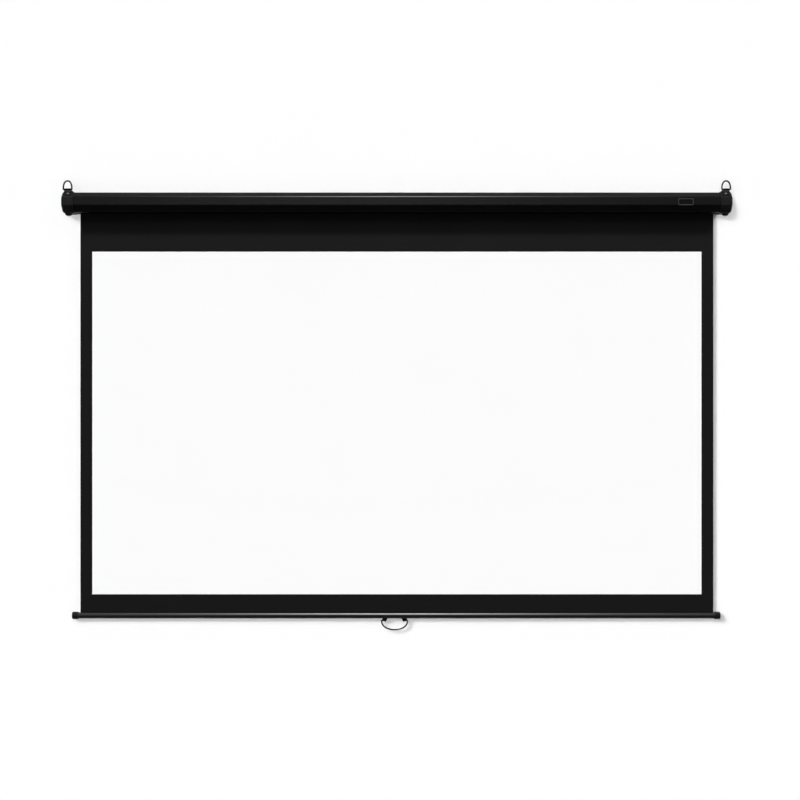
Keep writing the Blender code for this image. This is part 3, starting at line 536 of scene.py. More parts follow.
class Recipe:
    """One finish in the making: its nodes and the shader that they feed."""

    def __init__(self, name, metal=0.0, specular=0.5):
        self.finish = bpy.data.materials.new(name)
        self.finish.use_nodes = True
        self.tree = self.finish.node_tree
        self.shader = self.tree.nodes["Principled BSDF"]
        self.shader.inputs["Metallic"].default_value = metal
        self.shader.inputs["Specular IOR Level"].default_value = specular
        self.where = self.add("ShaderNodeTexCoord").outputs["Object"]

    def add(self, kind, inputs=()):
        return add_node(self.tree, kind, inputs)

    def use_cloth_map(self):
        """Reads the cloth's own flat map, scaled to metres."""
        flat = self.add("ShaderNodeTexCoord").outputs["UV"]
        scaled = self.add("ShaderNodeMapping", {"Vector": flat, "Scale": CLOTH_SIZE})
        self.where = scaled.outputs["Vector"]

    def stretched(self, factors):
        """The place on the piece, stretched for a grain that runs one way."""
        inputs = {"Vector": self.where, "Scale": factors}
        return self.add("ShaderNodeMapping", inputs).outputs["Vector"]

    def cloud(self, scale, detail=3.0, where=None):
        """Soft noise."""
        inputs = {"Vector": where or self.where, "Scale": scale, "Detail": detail}
        return self.add("ShaderNodeTexNoise", inputs).outputs["Fac"]

    def pebbles(self, scale):
        """Cells, for moulded and plated grain."""
        inputs = {"Vector": self.where, "Scale": scale}
        return self.add("ShaderNodeTexVoronoi", inputs).outputs["Distance"]

    def threads(self, along):
        """Slightly uneven waves along one axis."""
        inputs = {"Vector": self.where, "Scale": THREAD_SCALE, "Distortion": 0.3}
        node = self.add("ShaderNodeTexWave", inputs)
        node.wave_type = "BANDS"
        node.bands_direction = along
        return node.outputs["Fac"]

    def plus(self, first, second):
        return add_math(self.tree, "ADD", first, second)

    def times(self, first, second):
        return add_math(self.tree, "MULTIPLY", first, second)

    def spread(self, value, low, high, start=0.0, end=1.0):
        return add_range(self.tree, value, low, high, start, end)

    def mottled(self, scale, low, high, detail=3.0):
        """Clouds between two values, for a shine that isn't the same all over."""
        return self.spread(self.cloud(scale, detail), low, high, *CLOUD_RANGE)

    def tint(self, factor, first, second):
        """Mixes two colours, or a colour made before with another."""
        node = self.add("ShaderNodeMix", {"Factor": factor})
        node.data_type = "RGBA"
        colours = [s for s in node.inputs if s.type == "RGBA"]
        for socket, colour in zip(colours, (first, second)):
            if isinstance(colour, tuple):
                socket.default_value = (*colour, 1.0)
            else:
                self.tree.links.new(colour, socket)
        return next(s for s in node.outputs if s.type == "RGBA")

    def shaded(self, shades, scale, detail=3.0):
        """A colour that drifts between two shades in clouds."""
        return self.tint(self.cloud(scale, detail), *shades)

    def worn_edge(self, radius, scale=160.0):
        """High on edges, broken up by noise, where a coat rubs thin."""
        rounded = self.add("ShaderNodeBevel", {"Radius": radius})
        rounded.samples = 6
        plain = self.add("ShaderNodeNewGeometry")
        normals = {0: rounded.outputs["Normal"], 1: plain.outputs["Normal"]}
        dot = self.add("ShaderNodeVectorMath", normals)
        dot.operation = "DOT_PRODUCT"
        edge = self.spread(dot.outputs["Value"], 1.0, 0.0, start=0.86, end=0.995)
        broken = self.spread(self.cloud(scale, detail=4.0), 0.0, 1.0, start=0.48, end=0.66)
        return self.times(edge, broken)

    def bumps(self, height, depth, strength):
        """Raises the surface a little, on top of the bumps before it."""
        inputs = {"Height": height, "Distance": depth, "Strength": strength}
        node = self.add("ShaderNodeBump", inputs)
        last = self.shader.inputs["Normal"]
        if last.is_linked:
            self.tree.links.new(last.links[0].from_socket, node.inputs["Normal"])
        self.tree.links.new(node.outputs["Normal"], last)

    def colour(self, value):
        self.tree.links.new(value, self.shader.inputs["Base Color"])

    def roughness(self, value):
        self.tree.links.new(value, self.shader.inputs["Roughness"])


def baked_enamel(name, wear, gloss=0.33, specular=0.08):
    """Satin black paint baked on steel: fine orange peel, and paler where edges rub."""
    r = Recipe(name, specular=specular)
    rubbed = r.worn_edge(radius=0.0009)
    black = r.shaded(ENAMEL_BLACKS, 9.0, detail=2.0)
    r.colour(r.tint(r.times(rubbed, wear), black, RUBBED_ENAMEL))
    r.roughness(r.plus(r.mottled(34.0, gloss - 0.02, gloss + 0.02), r.times(rubbed, 0.12)))
    r.bumps(r.cloud(620.0, detail=2.0), depth=0.00002, strength=0.6)
    return r.finish


def moulded_black(name, gloss=0.46):
    """Black moulded plastic with a fine spark-eroded grain."""
    r = Recipe(name, specular=0.12)
    rubbed = r.worn_edge(radius=0.0007, scale=210.0)
    black = r.shaded(PLASTIC_BLACKS, 24.0, detail=2.0)
    r.colour(r.tint(r.times(rubbed, 0.25), black, RUBBED_PLASTIC))
    r.roughness(r.mottled(90.0, gloss - 0.04, gloss + 0.05))
    r.bumps(r.pebbles(1900.0), depth=0.00003, strength=0.5)
    r.bumps(r.cloud(1200.0), depth=0.00003, strength=0.4)
    return r.finish


def black_wire(name):
    """Black dipped steel wire, rubbed paler where it bears."""
    r = Recipe(name, specular=0.12)
    rubbed = r.spread(r.cloud(95.0, detail=4.0), 0.0, 0.5, start=0.6, end=0.74)
    r.colour(r.tint(rubbed, r.shaded(WIRE_BLACKS, 60.0), RUBBED_WIRE))
    r.roughness(r.mottled(210.0, 0.36, 0.48))
    r.bumps(r.cloud(900.0, detail=2.0), depth=0.00002, strength=0.6)
    return r.finish


def plated(name, shades, gloss=0.34, drawn=None):
    """Zinc plated steel with cloudy spangle and fine marks."""
    r = Recipe(name, metal=1.0)
    patches = r.spread(r.pebbles(260.0), 0.0, 1.0, start=0.1, end=0.7)
    mixed = r.plus(r.times(patches, 0.45), r.times(r.cloud(70.0, detail=4.0), 0.55))
    r.colour(r.tint(mixed, *shades))
    marks = r.cloud(900.0, where=r.stretched(drawn) if drawn else None)
    r.roughness(r.spread(marks, gloss - 0.07, gloss + 0.12, *CLOUD_RANGE))
    r.bumps(marks, depth=0.00001, strength=0.5)
    return r.finish


def natural_nylon(name):
    """Cream nylon, a little waxy."""
    r = Recipe(name, specular=0.45)
    r.colour(r.shaded(NYLON_CREAMS, 120.0))
    r.roughness(r.mottled(320.0, 0.36, 0.5, detail=2.0))
    r.bumps(r.cloud(1500.0, detail=2.0), depth=0.00002, strength=0.4)
    return r.finish


def black_masking(name):
    """The black front border: a close, dull, finely pebbled coating."""
    r = Recipe(name, specular=0.08)
    r.use_cloth_map()
    r.colour(r.shaded(MASKING_BLACKS, 5.0))
    r.roughness(r.mottled(400.0, 0.72, 0.88))
    r.bumps(r.pebbles(1400.0), depth=0.00005, strength=0.5)
    return r.finish


def picture_white(name):
    """The matt white picture coat: an even, very fine glass-like grain."""
    r = Recipe(name, specular=0.12)
    r.use_cloth_map()
    r.colour(r.shaded(PICTURE_WHITES, 3.0, detail=2.0))
    r.roughness(r.mottled(700.0, 0.78, 0.92, detail=2.0))
    r.bumps(r.pebbles(1700.0), depth=0.00004, strength=0.35)
    return r.finish


def woven_backing(name):
    """The black back: threads over and under in a plain weave."""
    r = Recipe(name, specular=0.12)
    r.use_cloth_map()
    weave = r.times(r.threads("X"), r.threads("Y"))
    thread = r.plus(r.times(weave, 0.7), r.times(r.cloud(800.0), 0.3))
    r.colour(r.tint(thread, *BACKING_BLACKS))
    r.roughness(r.spread(thread, 0.92, 0.78))
    r.bumps(thread, depth=0.00012, strength=0.6)
    return r.finish


def hem_cloth(name):
    """The same black cloth where it is looped or wound, on Object coordinates."""
    r = Recipe(name, specular=0.08)
    weave = r.times(r.threads("X"), r.threads("Z"))
    r.colour(r.tint(weave, *HEM_BLACKS))
    r.roughness(r.mottled(400.0, 0.74, 0.9))
    r.bumps(weave, depth=0.00008, strength=0.5)
    return r.finish


def badge_rim(name):
    """The badge's thin rim: dull grey metal."""
    r = Recipe(name, metal=0.6, specular=0.4)
    r.colour(r.shaded(BADGE_GREYS, 220.0))
    r.roughness(r.mottled(900.0, 0.32, 0.46, detail=2.0))
    return r.finish


def badge_field(name):
    """The badge's blank field: smooth black lacquer."""
    r = Recipe(name, specular=0.05)
    r.colour(r.shaded(BADGE_BLACKS, 60.0, detail=2.0))
    r.roughness(r.mottled(150.0, 0.42, 0.5))
    r.bumps(r.cloud(700.0, detail=2.0), depth=0.00001, strength=0.2)
    return r.finish


CASE_PAINT = baked_enamel("baked_case_enamel", 0.5)
BAR_PAINT = baked_enamel("baked_bar_enamel", 0.6, 0.33, 0.42)
STRAP_PAINT = baked_enamel("baked_strap_enamel", 0.9, 0.36, 0.06)
CAP_PLASTIC = moulded_black("grained_black_plastic")
KNOB_PLASTIC = moulded_black("smooth_black_plastic", 0.36)
WIRE_COAT = black_wire("dipped_black_wire")
HANDLE_COAT = black_wire("dipped_black_handle")
SCREW_ZINC = plated("black_zinc_screw", SCREW_GREYS, 0.36)
STEEL = plated("zinc_plated_steel", ZINC_GREYS)
TUBE_STEEL = plated("galvanised_tube_steel", TUBE_GREYS, 0.4, drawn=(0.2, 1, 1))
SPRING_STEEL = plated("oiled_spring_steel", SPRING_GREYS, 0.3)
PLUG_PLASTIC = moulded_black("ribbed_plug_plastic", 0.5)
BUSH_NYLON = natural_nylon("natural_nylon")
BORDER_BLACK = black_masking("black_masking_coat")
PICTURE_WHITE = picture_white("matt_white_picture_coat")
BACK_WEAVE = woven_backing("black_woven_backing")
BADGE_RIM = badge_rim("grey_badge_rim")
BADGE_FIELD = badge_field("black_badge_field")
HEM_BLACK = hem_cloth("black_hem_cloth")


def paint(piece, *finishes):
    """Gives a piece its finishes, the first one all over."""
    piece.data.materials.clear()
    for finish in finishes:
        piece.data.materials.append(finish)


# Case and caps

def fold_case():
    """One folded sheet: back, top, upper slope, front, lower slope and a slotted bottom."""
    case = block("folded_case", (-CASE_END, -CASE_DEPTH, -CASE_HALF), (CASE_END, 0, CASE_HALF))
    open_up(case)
    slice_off((0, UPPER_FOLD_Y, CASE_HALF), UPPER_SLOPE_OUT)
    slice_off((0, LOWER_FOLD_Y, -CASE_HALF), LOWER_SLOPE_OUT)
    pick_edges(case, lambda a, b: runs_along(a, b) and a.y < -CASE_DEPTH / 2)
    round_edges(FRONT_FOLD, segments=8)
    pick_edges(case, lambda a, b: runs_along(a, b) and a.y > -CLOSE)
    round_edges(BACK_FOLD, segments=4)
    pick_faces(case, lambda middle, out: abs(out.x) > FACING)
    bpy.ops.mesh.delete(type="FACE")
    slot = (SLOT_FRONT, SLOT_BACK)
    for y in slot:
        pick_faces(case, lambda middle, out: out.z < -FACING)
        bpy.ops.mesh.bisect(plane_co=(0, y, 0), plane_no=(0, 1, 0))
    pick_faces(case, lambda middle, out: out.z < -FACING and SLOT_FRONT < middle.y < SLOT_BACK)
    bpy.ops.mesh.delete(type="FACE")
    for y in slot:
        pick_rim(case, lambda p: abs(p.y - y) < CLOSE and p.z < CASE_WALL - CASE_HALF)
        push_out((0, 0, SLOT_LIP))
    notch = CAP_MOUTH - CAP_GAP
    for sign in SIDES.values():
        score((sign * notch, 0, 0), (1, 0, 0))
    score((0, -BACK_NOTCH, 0), (0, 1, 0))
    pick_faces(case, lambda middle, out: abs(middle.x) > notch and middle.y > -BACK_NOTCH)
    bpy.ops.mesh.delete(type="FACE")
    bpy.ops.mesh.select_all(action="SELECT")
    bpy.ops.mesh.remove_doubles(threshold=CLOSE)
    close_up()
    thicken(case, CASE_WALL)
    smooth(case)
    paint(case, CASE_PAINT)
    return fit(case, "case", "case_paint", "case_housing")


def cap_section(name, low, high):
    """A block with the case's section, a little larger, between two places along X."""
    g = CAP_GROWTH
    cap = block(name, (low, -CASE_DEPTH - g, -CASE_HALF - g), (high, 0, CASE_HALF + g))
    open_up(cap)
    slice_off(Vector((0, UPPER_FOLD_Y, CASE_HALF)) + UPPER_SLOPE_OUT * g, UPPER_SLOPE_OUT)
    slice_off(Vector((0, LOWER_FOLD_Y, -CASE_HALF)) + LOWER_SLOPE_OUT * g, LOWER_SLOPE_OUT)
    pick_edges(cap, runs_along)
    round_edges(CAP_FOLD, segments=6)
    return cap


def turn_boss(side, sign):
    """The short cone under a cap that takes the lower screw."""
    spot = (sign * BOSS_X, RING_Y, BOSS_MIDDLE)
    axis = (sign * BOSS_X, RING_Y, 0)
    boss = round_bar(f"{side}_boss", spot, BOSS_RADIUS, BOSS_LENGTH, "Z", sides=64)
    open_up(boss)
    pick_faces(boss, lambda middle, out: out.z < -FACING)
    scale_about((BOSS_TAPER, BOSS_TAPER, 1), axis)
    push_out((0, 0, -BOSS_NOSE))
    scale_about((BOSS_NOSE_TAPER, BOSS_NOSE_TAPER, 1), axis)
    bpy.ops.mesh.inset(thickness=0.0006, depth=0.0001)
    close_up()
    ease(boss, radius=0.0005, segments=3, angle=12)
    return boss


def mould_cap(side, sign):
    """A moulded cap: straight sides, an oval dome and the boss."""
    near = sign * CAP_MOUTH
    far = sign * (CAP_MOUTH + CAP_STRAIGHT)
    cap = cap_section(f"moulded_{side}_cap", min(near, far), max(near, far))
    pick_faces(cap, lambda middle, out: out.x * sign > FACING)
    steps = 10
    done = 1.0
    along = 0.0
    for i in range(1, steps + 1):
        turn = math.radians(90 * i / steps)
        reach = CAP_DOME * math.sin(turn)
        size = 1 - CAP_DOME_INSET * (1 - math.cos(turn)) / CAP_HALF
        push_out((sign * (reach - along), 0, 0))
        scale_about((1, size / done, size / done), (0, CAP_MIDDLE, 0))
        along = reach
        done = size
    pick_faces(cap, lambda middle, out: out.x * sign < -FACING)
    bpy.ops.mesh.delete(type="FACE")
    close_up()
    thicken(cap, CAP_WALL)
    weld_together(cap, turn_boss(side, sign))
    smooth(cap, angle=40)
    paint(cap, CAP_PLASTIC)
    return fit(cap, "case", "cap_plastic", f"{side}_end_cap")


# Hanging gear

def bend_strap(side, sign):
    """A steel strap: a foot on the cap's slope, a curl round the ring's bar and a rear foot."""
    foot_x = sign * (FOOT_INNER + FOOT_OUTER) / 2
    foot_width = FOOT_OUTER - FOOT_INNER
    loop_width = 2 * LOOP_HALF
    out = STRAP_LOOP * math.cos(math.radians(STRAP_LEAN))
    down = STRAP_LOOP * math.sin(math.radians(STRAP_LEAN))
    toe = Vector((0, TOE_Y, TOE_Z))
    shoulder = Vector((0, SHOULDER_Y, FOOT_LEVEL))
    loop_start = Vector((0, RING_Y - out, RING_Z - down))
    loop_end = Vector((0, RING_Y + out, loop_start.z))
    rear = Vector((0, REAR_BEND_Y, FOOT_LEVEL))
    strap = strip_line(f"bent_{side}_strap", (foot_x, TOE_Y, TOE_Z), foot_width)
    push_out(shoulder - toe)
    push_out(loop_start - shoulder)
    scale_about((loop_width / foot_width, 1, 1), (foot_x, 0, 0))
    shift((sign * RING_X - foot_x, 0, 0))
    curl((0, RING_Y, RING_Z), 180 + 2 * STRAP_LEAN, steps=20)
    push_out(rear - loop_end)
    scale_about((foot_width / loop_width, 1, 1), (sign * RING_X, 0, 0))
    shift((foot_x - sign * RING_X, 0, 0))
    push_out((0, REAR_FOOT, 0))

    near = 0.0002

    def bent_here(p):
        on_line = min(abs(p.y - shoulder.y), abs(p.y - rear.y)) < near
        return on_line and abs(p.z - FOOT_LEVEL) < near

    pick_edges(strap, lambda a, b: runs_along(a, b) and bent_here(a))
    round_edges(STRAP_BEND, segments=5)
    close_up()
    thicken(strap, STRAP_WALL, offset=0.0)
    tidy_faces(strap, merge=0.00002)
    ease(strap, radius=0.0004, segments=2, angle=40)
    smooth(strap)
    paint(strap, STRAP_PAINT)
    return fit(strap, "case", "strap_paint", f"{side}_hanger_strap")


def bend_ring(side, sign):
    """A D-shaped wire ring: a straight bar below and a tall round bow."""
    start = Vector((sign * RING_X, RING_Y, RING_Z))
    ring = hoop(f"wire_{side}_ring", start, RING_WIRE, sides=20)
    outline = wire_outline(0, RING_HALF, RING_RISE, RING_CORNER, RING_FULLNESS, steps=60)
    draw_wire(ring, [start + Vector((x, 0, z)) for x, z in outline])
    close_up()
    tidy_faces(ring, merge=0.00005)
    smooth(ring, angle=60)
    paint(ring, WIRE_COAT)
    return fit(ring, f"{side}_ring", "ring_wire", f"{side}_hanging_ring")


def turn_screw(name, head):
    """A pan head screw with a cross recess, its seat at the origin and its head upwards."""
    screw = round_bar(name, (0, 0, SCREW_RIM / 2), head, SCREW_RIM, "Z", sides=40)
    open_up(screw)
    pick_faces(screw, lambda middle, out: out.z > FACING)
    for rise, size in SCREW_CROWN:
        push_out((0, 0, rise))
        scale_about((size, size, 1), (0, 0, 0))
    pick_faces(screw, lambda middle, out: out.z < -FACING)
    bpy.ops.mesh.inset(thickness=head - SHANK_RADIUS, depth=0)
    push_out((0, 0, -SHANK_LENGTH))
    push_out((0, 0, -SHANK_POINT))
    scale_about((POINT_SIZE, POINT_SIZE, 1), (0, 0, 0))
    close_up()
    reach = head * RECESS_REACH
    for x, y in ((reach, RECESS_HALF), (RECESS_HALF, reach)):
        carve(screw, block("cross_bit", (-x, -y, RECESS_FLOOR), (x, y, RECESS_TOP)))
    smooth(screw, angle=40)
    return screw


def set_screw(pattern, name, seat, outwards, body, node):
    """Copies the screw, turns its head outwards and sets it on its seat."""
    screw = copy_of(pattern, name)
    screw.rotation_mode = "QUATERNION"
    screw.rotation_quaternion = Vector(outwards).to_track_quat("Z", "Y")
    put_at(screw, seat)
    paint(screw, SCREW_ZINC)
    return fit(screw, body, "screw_steel", node)


def hang_case():
    """Straps, rings and their screws at both ends."""
    pattern = turn_screw("screw_pattern", CASE_SCREW_HEAD)
    up_slope = Vector((0, 1, 1)).normalized()
    strap_ridge = CASE_RIDGE + Vector((0, -STRAP_FACE, STRAP_FACE * (math.sqrt(2) - 1)))
    on_slope = strap_ridge + up_slope * SCREW_UP_SLOPE + UPPER_SLOPE_OUT * SCREW_LIFT
    rear_z = FOOT_LEVEL + REAR_SCREW_LIFT
    for side, sign in SIDES.items():
        bend_strap(side, sign)
        bend_ring(side, sign)
        seats = {
            "front": ((sign * SCREW_X, on_slope.y, on_slope.z), UPPER_SLOPE_OUT),
            "rear": ((sign * SCREW_X, REAR_SCREW_Y, rear_z), (0, 0, 1)),
            "lower": ((sign * BOSS_X, RING_Y, BOSS_SEAT), (0, 0, -1)),
        }
        for place, (seat, outwards) in seats.items():
            name = f"cross_{side}_{place}_screw"
            set_screw(pattern, name, seat, outwards, "case", f"{side}_{place}_screw")
    bpy.data.objects.remove(pattern, do_unlink=True)


def mount_badge():
    """A blank plate with a thin raised rim."""
    low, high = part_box("badge_plate")
    badge = block("blank_badge", low, high)
    open_up(badge)
    pick_edges(badge, lambda a, b: abs(a.y - b.y) > CLOSE)
    round_edges(BADGE_CORNER, segments=4)
    pick_faces(badge, lambda middle, out: out.y < -FACING)
    bpy.ops.mesh.inset(thickness=BADGE_RIM_WIDTH, depth=0)
    bpy.ops.mesh.inset(thickness=BADGE_STEP, depth=-BADGE_SINK)
    close_up()
    paint(badge, BADGE_RIM, BADGE_FIELD)
    front = min(v.co.y for v in badge.data.vertices)
    for face in badge.data.polygons:
        sunk = face.normal.y < -FACING and face.center.y > front + CLOSE
        side_on = abs(face.normal.y) < SIDE_ON
        face.material_index = 1 if sunk or side_on else 0
    ease(badge, radius=0.00015, segments=2, angle=50)
    smooth(badge)
    return fit(badge, "case", "badge_black", "badge_plate")


# Cloth

def hang_cloth():
    """The hanging sheet: white picture area, black borders, woven black back."""
    middle = (0, CLOTH_Y, CLOTH_BOTTOM / 2)
    cloth = upright_sheet("hanging_cloth", middle, 2 * CLOTH_EDGE, -CLOTH_BOTTOM)
    open_up(cloth)
    for x in (-PICTURE_HALF, PICTURE_HALF):
        score((x, 0, 0), (1, 0, 0))
    for z in (PICTURE_TOP, PICTURE_BOTTOM):
        score((0, 0, z), (0, 0, 1))
    for i in range(1, CLOTH_COLUMNS):
        score((-CLOTH_EDGE + 2 * CLOTH_EDGE * i / CLOTH_COLUMNS, 0, 0), (1, 0, 0))
    for i in range(1, CLOTH_ROWS):
        score((0, 0, CLOTH_BOTTOM * i / CLOTH_ROWS), (0, 0, 1))
    close_up()
    back, border, picture = range(3)
    paint(cloth, BACK_WEAVE, BORDER_BLACK, PICTURE_WHITE)
    thicken(cloth, CLOTH_THICKNESS, offset=0.0)
    for face in cloth.data.polygons:
        at = face.center
        inside = abs(at.x) < PICTURE_HALF and PICTURE_BOTTOM < at.z < PICTURE_TOP
        front = picture if inside else border
        face.material_index = front if face.normal.y < -SIDE_ON else back
    fit(cloth, "case", "cloth_black", "screen_cloth", "picture_surface")
    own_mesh(cloth)
    return cloth


def loop_hem():
    """The cloth's lower edge, looped round its rod inside the weight bar."""
    rod_low, rod_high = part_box("hem_rod")
    rod_z = (rod_low.z + rod_high.z) / 2
    top = CLOTH_BOTTOM + HEM_LAP
    hem = strip_line("looped_hem", (0, CLOTH_Y, top), 2 * CLOTH_EDGE)
    push_out((0, 0, rod_z + HEM_LOOP - top))
    curl((0, CLOTH_Y, rod_z), -HEM_CURL, steps=24)
    close_up()
    thicken(hem, HEM_THICKNESS, offset=0.0)
    tidy_faces(hem, merge=CLOSE)
    smooth(hem, angle=50)
    paint(hem, HEM_BLACK)
    return fit(hem, "screen", "cloth_black", "cloth_hem")


def wind_turns():
    """The turns of cloth that stay on the roller: a sheet wound in a close spiral."""
    steps = 96
    before = Vector((0, ROLLER_Y + TURNS_INNER, 0))
    turns = strip_line("wound_turns", (0, ROLLER_Y + TURNS_INNER, 0), 2 * CLOTH_EDGE)
    for i in range(1, steps + 1):
        turn = math.radians(TURNS_ANGLE * i / steps)
        radius = TURNS_INNER + (TURNS_OUTER - TURNS_INNER) * i / steps
        spot = Vector((0, ROLLER_Y + radius * math.cos(turn), radius * math.sin(turn)))
        push_out(spot - before)
        before = spot
    close_up()
    thicken(turns, TURNS_THICKNESS, offset=0.0)
    smooth(turns, angle=50)
    paint(turns, HEM_BLACK)
    return fit(turns, "roller", "cloth_black", "wound_cloth")


# Weight bar and handle

def roll_bar():
    """The weight bar: a steel tube slotted along its top for the cloth."""
    bar = hoop("slotted_weight_bar", (BAR_LEFT, CLOTH_Y, BAR_Z), BAR_RADIUS, sides=72)
    open_up(bar)
    bpy.ops.mesh.select_all(action="SELECT")
    push_out((BAR_RIGHT - BAR_LEFT, 0, 0))
    for y in (CLOTH_Y - BAR_SLOT, CLOTH_Y + BAR_SLOT):
        score((0, y, 0), (0, 1, 0))
    pick_faces(bar, lambda middle, out: middle.z > BAR_Z and abs(middle.y - CLOTH_Y) < BAR_SLOT)
    bpy.ops.mesh.delete(type="FACE")
    close_up()
    tidy_faces(bar, merge=CLOSE)
    thicken(bar, BAR_WALL)
    ease(bar, radius=0.0002, segments=2, angle=50)
    smooth(bar)
    paint(bar, BAR_PAINT)
    return fit(bar, "screen", "bar_paint", "weight_bar")


def mould_knob(side, sign):
    """A moulded plug over the bar's end, with a rounded nose and a shallow dish in it."""
    middle = BAR_MIDDLE + sign * (KNOB_MOUTH + KNOB_LENGTH / 2)
    outer = middle + sign * KNOB_LENGTH / 2
    inner = middle - sign * KNOB_LENGTH / 2
    axis = Vector((CLOTH_Y, BAR_Z))
    spot = (middle, CLOTH_Y, BAR_Z)
    knob = round_bar(f"moulded_{side}_knob", spot, KNOB_RADIUS, KNOB_LENGTH, "X", sides=64)
    open_up(knob)
    pick_rim(knob, lambda p: abs(p.x - outer) < CLOSE)
    round_edges(KNOB_NOSE, segments=6)
    pick_faces(knob, lambda middle, out: abs(middle.x - outer) < CLOSE)
    bpy.ops.mesh.inset(thickness=KNOB_LAND, depth=0)
    bpy.ops.mesh.inset(thickness=KNOB_DISH_EDGE, depth=-KNOB_DISH)
    pick_faces(knob, lambda middle, out: abs(middle.x - inner) < CLOSE)
    bpy.ops.mesh.inset(thickness=KNOB_RADIUS - BAR_RADIUS - BAR_FIT, depth=0)
    push_out((sign * KNOB_SOCKET, 0, 0))
    rim = BAR_RADIUS + 0.001
    pick_rim(knob, lambda p: abs(p.x - inner) < CLOSE and (p.yz - axis).length > rim)
    round_edges(KNOB_LIP, segments=3)
    close_up()
    smooth(knob, angle=40)
    paint(knob, KNOB_PLASTIC)
    return fit(knob, "screen", "cap_plastic", f"{side}_bar_cap")


def form_lug(side, sign):
    """The saddle under the bar that holds one end of the handle."""
    tip = HANDLE_X + sign * LUG_OUTER
    inner, outer = sorted((HANDLE_X + sign * LUG_INNER, tip))
    middle = (inner + outer) / 2
    low = (inner, CLOTH_Y - LUG_HALF, LUG_BOTTOM)
    lug = block(f"formed_{side}_lug", low, (outer, CLOTH_Y + LUG_HALF, LUG_TOP))
    open_up(lug)
    pick_faces(lug, lambda at, out: out.z < -FACING)
    foot_length = (LUG_OUTER - LUG_FOOT) / (LUG_OUTER - LUG_INNER)
    foot_middle = HANDLE_X + sign * (LUG_FOOT + LUG_OUTER) / 2
    scale_about((foot_length, LUG_FOOT_SHARE, 1), (middle, CLOTH_Y, 0))
    shift((foot_middle - middle, 0, 0))
    close_up()
    saddle = (middle, CLOTH_Y, BAR_Z)
    saddle_radius = BAR_RADIUS + BAR_FIT
    carve(lug, round_bar("saddle_bit", saddle, saddle_radius, SADDLE_LENGTH, "X", sides=96))
    eye = (tip, CLOTH_Y, HANDLE_PIVOT)
    carve(lug, round_bar("eye_bit", eye, HANDLE_WIRE + EYE_FIT, EYE_LENGTH, "X", sides=24))
    ease(lug, radius=0.0008, segments=3, angle=40)
    smooth(lug, angle=40)
    paint(lug, STRAP_PAINT)
    return fit(lug, "screen", "bar_paint", f"{side}_handle_lug")


def bend_handle():
    """The pull handle: one wire bent to a full half oval, its ends turned in to the lugs."""
    inner = LUG_OUTER - HANDLE_TAIL
    origin = Vector((HANDLE_X, CLOTH_Y, HANDLE_PIVOT))
    start = origin + Vector((inner, 0, 0))
    handle = hoop("bent_wire_handle", start, HANDLE_WIRE, sides=20)
    shape = (HANDLE_HALF, HANDLE_DROP, HANDLE_BEND, HANDLE_FULLNESS)
    outline = wire_outline(inner, *shape, steps=72)
    draw_wire(handle, [origin + Vector((x, 0, -drop)) for x, drop in outline])
    near = 0.0001
    lowest = HANDLE_PIVOT - 0.003
    for end in (HANDLE_X + inner, HANDLE_X - inner):
        pick_rim(handle, lambda p: abs(p.x - end) < near and p.z > lowest)
        bpy.ops.mesh.edge_face_add()
    close_up()
    tidy_faces(handle, merge=CLOSE)
    smooth(handle, angle=60)
    paint(handle, HANDLE_COAT)
    return fit(handle, "handle", "handle_wire", "pull_handle")


def hang_bar():
    """The weight bar with its knobs, lugs, screws and handle."""
    roll_bar()
    pattern = turn_screw("lug_screw_pattern", LUG_SCREW_HEAD)
    for side, sign in SIDES.items():
        mould_knob(side, sign)
        form_lug(side, sign)
        seat = (HANDLE_X + sign * LUG_SCREW, CLOTH_Y, LUG_BOTTOM - LUG_SCREW_LIFT)
        name = f"cross_{side}_lug_screw"
        set_screw(pattern, name, seat, (0, 0, -1), "screen", f"{side}_lug_screw")
    bpy.data.objects.remove(pattern, do_unlink=True)
    bend_handle()


# Carried-over nodes

CARRIED = {
    "roller_tube": TUBE_STEEL,
    "lock_plug": PLUG_PLASTIC,
    "idle_plug": PLUG_PLASTIC,
    "gudgeon_pin": STEEL,
    "bearing_bush": BUSH_NYLON,
    "left_bracket": STEEL,
    "right_bracket": STEEL,
    "spring_arbor": STEEL,
    "spring_collar": PLUG_PLASTIC,
    "spring_anchor_plug": PLUG_PLASTIC,
    "torsion_spring": SPRING_STEEL,
    "ratchet_wheel": STEEL,
    "lock_pawl": STEEL,
    "pawl_pin": STEEL,
    "hem_rod": STEEL,
}


def finish_carried():
    for node, finish in CARRIED.items():
        paint(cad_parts[node], finish)


# Studio: each lamp has the way that it comes from, its width in degrees and its power
KEY_WAY = (-0.03, -1, 1.76)
KEY_LAMP = (KEY_WAY, 9, 2.55)
LEFT_LAMP = ((-0.88, -1, 0.924), 20, 2.28)
BACKDROP_LAMP = ((-0.95, -1, 0.73), 22, 2.57)
CASE_SHADE_LAMP = ((-0.5, -1, 0.34), 14, 1.43)
REAR_LAMP = ((0.35, 1, 0.7), 12, 1.1)
FRONT_LAMP = ((-0.04, -1, 0), 4, 0.52)
LAMP_STAND = 6
SHINE_REACH = 6.0
SHINE_WIDTH = 0.6
SHINE_POWER = 7.8
ROOM_LIGHT = 0.2
BACKDROP_ABOVE = 0.75
BACKDROP_BELOW = 0.15
HORIZON = (-0.15, 0.2)  # heights between which the backdrop turns pale
OVERHEAD_SHARE = 0.3
OVERHEAD = (0.4, 0.9)  # heights between which it turns dim again
WALL_MIDDLE = (0, 0.0006, 2.7)
WALL_SIZE = (30, 10)
WALL_WHITE = (0.9, 0.9, 0.9)
FLOOR_Z = -2.3
FLOOR_SIZE = 40
FLOOR_PALE = (0.6, 0.6, 0.6)
CAMERA_SPOT = (0.0114, -5.0155, -0.713)
LENS_LENGTH = 61.9
SENSOR_WIDTH = 36


